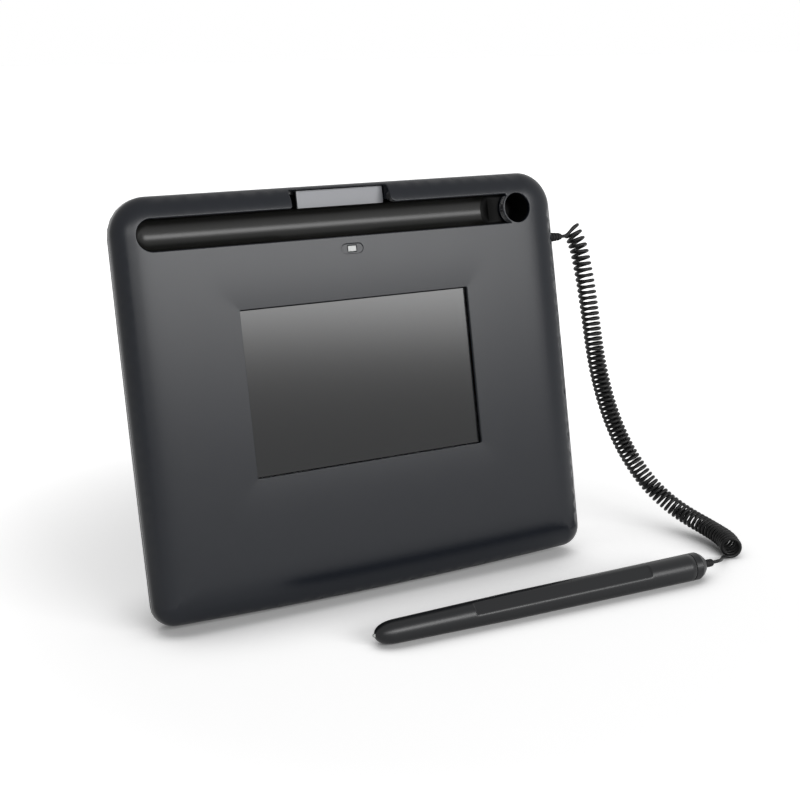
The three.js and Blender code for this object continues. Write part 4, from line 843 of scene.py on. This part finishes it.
def cord_line():
    """The whole wire's centreline, from the gland to the pen."""
    reach = PAD_WIDTH / 2 + GLAND_LENGTH + 0.1
    gland_mouth = np.array(PAD @ Vector((reach * MM, GLAND_RISE * MM, REAR_DEPTH * MM))) / MM
    pen_mouth = np.array(PEN @ Vector(((PEN_LENGTH + RELIEF_LENGTH + 0.1) * MM, 0, 0))) / MM
    pen_out = np.array(PEN.to_3x3() @ Vector((1, 0, 0)))
    steps = int(CURLS * COIL_STEPS)
    coil = [coil_point(i / COIL_STEPS) for i in range(steps + 1)]
    first_way = coil_point(0.002) - coil[0]
    last_way = coil_point(CURLS - 0.002) - coil[-1]
    first = lead(gland_mouth, np.array([1.0, 0, 0]), coil[0], first_way / np.linalg.norm(first_way))
    last = lead(pen_mouth, pen_out, coil[-1], last_way / np.linalg.norm(last_way))
    return np.array(first + coil + last[::-1])


def curly_cord(gland_sleeve):
    """The curly cord as one tube, running from the gland on the pad at one end to the pen at the other."""
    line = cord_line()
    tangents = np.gradient(line, axis=0)
    tangents /= np.linalg.norm(tangents, axis=1)[:, None]
    normal = np.cross([0, 0, 1.0], tangents[0])
    normal /= np.linalg.norm(normal)
    points = []
    for p, t in zip(line, tangents):
        normal = normal - t * (normal @ t)
        normal /= np.linalg.norm(normal)
        side = np.cross(t, normal)
        for k in range(COIL_SIDES):
            a = 2 * math.pi * k / COIL_SIDES
            points.append(tuple(p + (normal * math.cos(a) + side * math.sin(a)) * CORD_DIAMETER / 2))
    faces = ring_faces(len(line), COIL_SIDES, (True, True))
    piece = mesh_piece("curly_lead", points, faces, cord_rubber, None, None, ["curly_cord"])
    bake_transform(piece)
    return piece


front_cover()
pen_tray()
pen_cup()
window_glass()
pen_body()
pen_cap()
pen_sleeve()
curly_cord(gland())

# CAD nodes that stay
FINISHES = {
    "rear_cover": rear_plastic, "name_plate": grey_plate, "light_lens": clear_lens, "stand_leg": rear_plastic,
    "stand_foot": soft_rubber, "base_strip": soft_rubber, "glass_gasket": soft_rubber,
    "data_socket": bright_steel, "stand_pin_left": bright_steel, "stand_pin_right": bright_steel,
    "pen_nib": clear_lens,
}
for number in range(1, 7):
    FINISHES[f"cover_screw_{number}"] = bright_steel
for number in range(1, 5):
    FINISHES[f"rear_foot_{number}"] = soft_rubber
SLOT_FINISHES = {
    "circuit_board": material("green_board", (0.02, 0.13, 0.05), 0.5, bump=0.1, scale=2000, mottle=0.1),
    "chip_black": material("chip_black", (0.012, 0.012, 0.013), 0.55, bump=0.1, scale=3000, mottle=0.1),
    "white_plastic": material("white_plastic", (0.7, 0.7, 0.67), 0.5, bump=0.05, scale=2500, mottle=0.04),
    "copper_foil": material(
        "copper_foil", (0.5, 0.22, 0.1), 0.35, bump=0.05, scale=2500, mottle=0.1, Metallic=1.0,
    ),
    "panel_glass": material("panel_glass", (0.12, 0.13, 0.13), 0.3, bump=0.02, scale=2500, mottle=0.03),
    "bright_steel": bright_steel, "cord_rubber": cord_rubber,
    "clear_lens": clear_lens, "soft_rubber": soft_rubber,
}
def smooth_shading():
    """A node group that shades rounded edges smoothly and keeps the sharp ones."""
    group = bpy.data.node_groups.new("smooth_rounds", "GeometryNodeTree")
    group.interface.new_socket("Geometry", in_out="INPUT", socket_type="NodeSocketGeometry")
    group.interface.new_socket("Geometry", in_out="OUTPUT", socket_type="NodeSocketGeometry")
    start = group.nodes.new("NodeGroupInput")
    merged = group.nodes.new("GeometryNodeMergeByDistance")
    merged.inputs["Distance"].default_value = MERGE_DISTANCE
    plain = group.nodes.new("GeometryNodeRemoveAttribute")
    plain.inputs["Name"].default_value = "custom_normal"
    faces = group.nodes.new("GeometryNodeSetShadeSmooth")
    edges = group.nodes.new("GeometryNodeSetShadeSmooth")
    edges.domain = "EDGE"
    edges.inputs["Shade Smooth"].default_value = False
    angle = group.nodes.new("GeometryNodeInputMeshEdgeAngle")
    sharp = group.nodes.new("ShaderNodeMath")
    sharp.operation = "GREATER_THAN"
    sharp.inputs[1].default_value = math.radians(SHARP_ANGLE)
    end = group.nodes.new("NodeGroupOutput")
    for a, b in (
        (start.outputs[0], merged.inputs["Geometry"]), (merged.outputs[0], plain.inputs["Geometry"]),
        (plain.outputs[0], faces.inputs["Geometry"]), (faces.outputs[0], edges.inputs["Geometry"]),
        (angle.outputs[0], sharp.inputs[0]), (sharp.outputs[0], edges.inputs["Selection"]),
        (edges.outputs[0], end.inputs[0]),
    ):
        group.links.new(a, b)
    return group


MERGE_DISTANCE = 0.00001
SHARP_ANGLE = 32
rounds = smooth_shading()
for name in ["rear_cover"] + [f"rear_foot_{number}" for number in range(1, 5)]:
    NODES[name].modifiers.new("smooth_rounds", "NODES").node_group = rounds
    weighted = NODES[name].modifiers.new("flat_stays_flat", "WEIGHTED_NORMAL")
    weighted.keep_sharp = True
    weighted.weight = 100
slots = {item["node"]: item["material_slot"] for item in frame["record"]["subparts"]}
for name, node in NODES.items():
    finish = FINISHES.get(name) or SLOT_FINISHES.get(slots.get(name))
    if finish:
        for place in node.material_slots:
            place.material = finish

# Floor, background, lights and camera
def added(tree, kind, **inputs):
    """A new node; a number in inputs sets a socket and a socket is linked to it."""
    node = tree.nodes.new(kind)
    for name, value in inputs.items():
        socket = node.inputs[int(name[1:])] if name[1:].isdigit() else node.inputs[name.replace("_", " ")]
        if isinstance(value, bpy.types.NodeSocket):
            tree.links.new(value, socket)
        else:
            socket.default_value = value
    return node


def computed(tree, operation, a, b=0.0):
    """The result of a Math node."""
    node = added(tree, "ShaderNodeMath", i0=a, i1=b)
    node.operation = operation
    return node.outputs[0]


def seen_directly(tree):
    """1 for rays from the camera, and for those that mirrors and glass send on, else 0."""
    path = tree.nodes.new("ShaderNodeLightPath")
    first = computed(tree, "MAXIMUM", path.outputs["Is Camera Ray"], path.outputs["Is Transmission Ray"])
    return computed(tree, "MAXIMUM", first, path.outputs["Is Glossy Ray"])


def stepped(tree, value, low, high, to_low, to_high):
    """A smooth step between two values."""
    node = added(tree, "ShaderNodeMapRange", Value=value)
    node.interpolation_type = "SMOOTHSTEP"
    for name, number in (("From Min", low), ("From Max", high), ("To Min", to_low), ("To Max", to_high)):
        node.inputs[name].default_value = number
    return node.outputs["Result"]


FILL = 0.10
LIFT = 0.62
world = bpy.data.worlds.new("white_room")
bpy.context.scene.world = world
world.use_nodes = True
tree = world.node_tree
tree.nodes.clear()
direct = seen_directly(tree)
fill = added(tree, "ShaderNodeBackground", Color=(1, 1, 1, 1), Strength=FILL)
view = added(tree, "ShaderNodeBackground", Color=(1, 1, 1, 1), Strength=1.0)
mixed = added(tree, "ShaderNodeMixShader", i0=direct, i1=fill.outputs[0], i2=view.outputs[0])
added(tree, "ShaderNodeOutputWorld", Surface=mixed.outputs[0])

floor_mesh = bpy.data.meshes.new("floor")
floor_mesh.from_pydata([(-6, -6, 0), (6, -6, 0), (6, 6, 0), (-6, 6, 0)], [], [(0, 1, 2, 3)])
floor = bpy.data.objects.new("floor", floor_mesh)
bpy.context.scene.collection.objects.link(floor)
floor_material = bpy.data.materials.new("pale_floor")
floor_material.use_nodes = True
tree = floor_material.node_tree
paint = tree.nodes["Principled BSDF"]
paint.inputs["Base Color"].default_value = (0.8, 0.8, 0.8, 1)
paint.inputs["Roughness"].default_value = 0.7
paint.inputs["Specular IOR Level"].default_value = 0.1
direct = seen_directly(tree)
# the floor is white, apart from the soft shadow close to what stands on it: partly the lamps' shadow, partly
# a painted contact shadow, where ambient occlusion dims the floor's glow; further out the glow rises to full
# white, painted light over the lamps' cast shadows
place = added(tree, "ShaderNodeTexCoord")
reach = added(tree, "ShaderNodeVectorMath", i0=place.outputs["Object"], i1=(0.02, -0.02, 0))
reach.operation = "DISTANCE"
far = stepped(tree, reach.outputs["Value"], 0.14, 0.34, LIFT, 1.0)
contact = tree.nodes.new("ShaderNodeAmbientOcclusion")
contact.samples = 16
contact.inputs["Distance"].default_value = 0.05
painted_shadow_factor = stepped(tree, contact.outputs["AO"], 0.35, 0.95, 0.0, 1.0)
# the glow is cut by ambient occlusion near things: a painted contact shadow
lift = computed(tree, "MULTIPLY", far, painted_shadow_factor)
glow = added(tree, "ShaderNodeEmission", Strength=computed(tree, "MULTIPLY", direct, lift))
surface = added(tree, "ShaderNodeAddShader", i0=paint.outputs[0], i1=glow.outputs[0])
tree.links.new(surface.outputs[0], tree.nodes["Material Output"].inputs["Surface"])
floor_mesh.materials.append(floor_material)


def softbox(name, turn, rise, roll, distance, width, height, radiance, target=(0, 0.02, 0.09)):
    """A soft area light at a compass turn to the right of the pad's front, looking at the target."""
    light = bpy.data.lights.new(name, "AREA")
    light.shape = "RECTANGLE"
    light.size = width
    light.size_y = height
    light.energy = radiance * math.pi * width * height
    lamp = bpy.data.objects.new(name, light)
    a, e = math.radians(turn), math.radians(rise)
    way = Vector((math.sin(a) * math.cos(e), -math.cos(a) * math.cos(e), math.sin(e)))
    lamp.location = Vector(target) + way * distance
    lamp.rotation_euler = (way.to_track_quat("Z", "Y") @ Quaternion((0, 0, 1), math.radians(roll))).to_euler()
    lamp.visible_camera = False
    bpy.context.scene.collection.objects.link(lamp)
    return lamp


softbox("key_softbox", 18, 22.0, -7, 4.0, 2.60, 1.40, 5.3)
softbox("wide_softbox", 8, 22.0, -7, 4.1, 5.40, 1.44, 4.4)

camera_data = bpy.data.cameras.new("view")
camera_data.lens = LENS
camera_data.sensor_width = SENSOR
camera = bpy.data.objects.new("view", camera_data)
camera.location = CAMERA_PLACE
camera.rotation_euler = (math.radians(90 - CAMERA_PITCH), 0, math.radians(-CAMERA_TURN))
bpy.context.scene.collection.objects.link(camera)
bpy.context.scene.camera = camera
bpy.context.scene.view_settings.view_transform = "Standard"
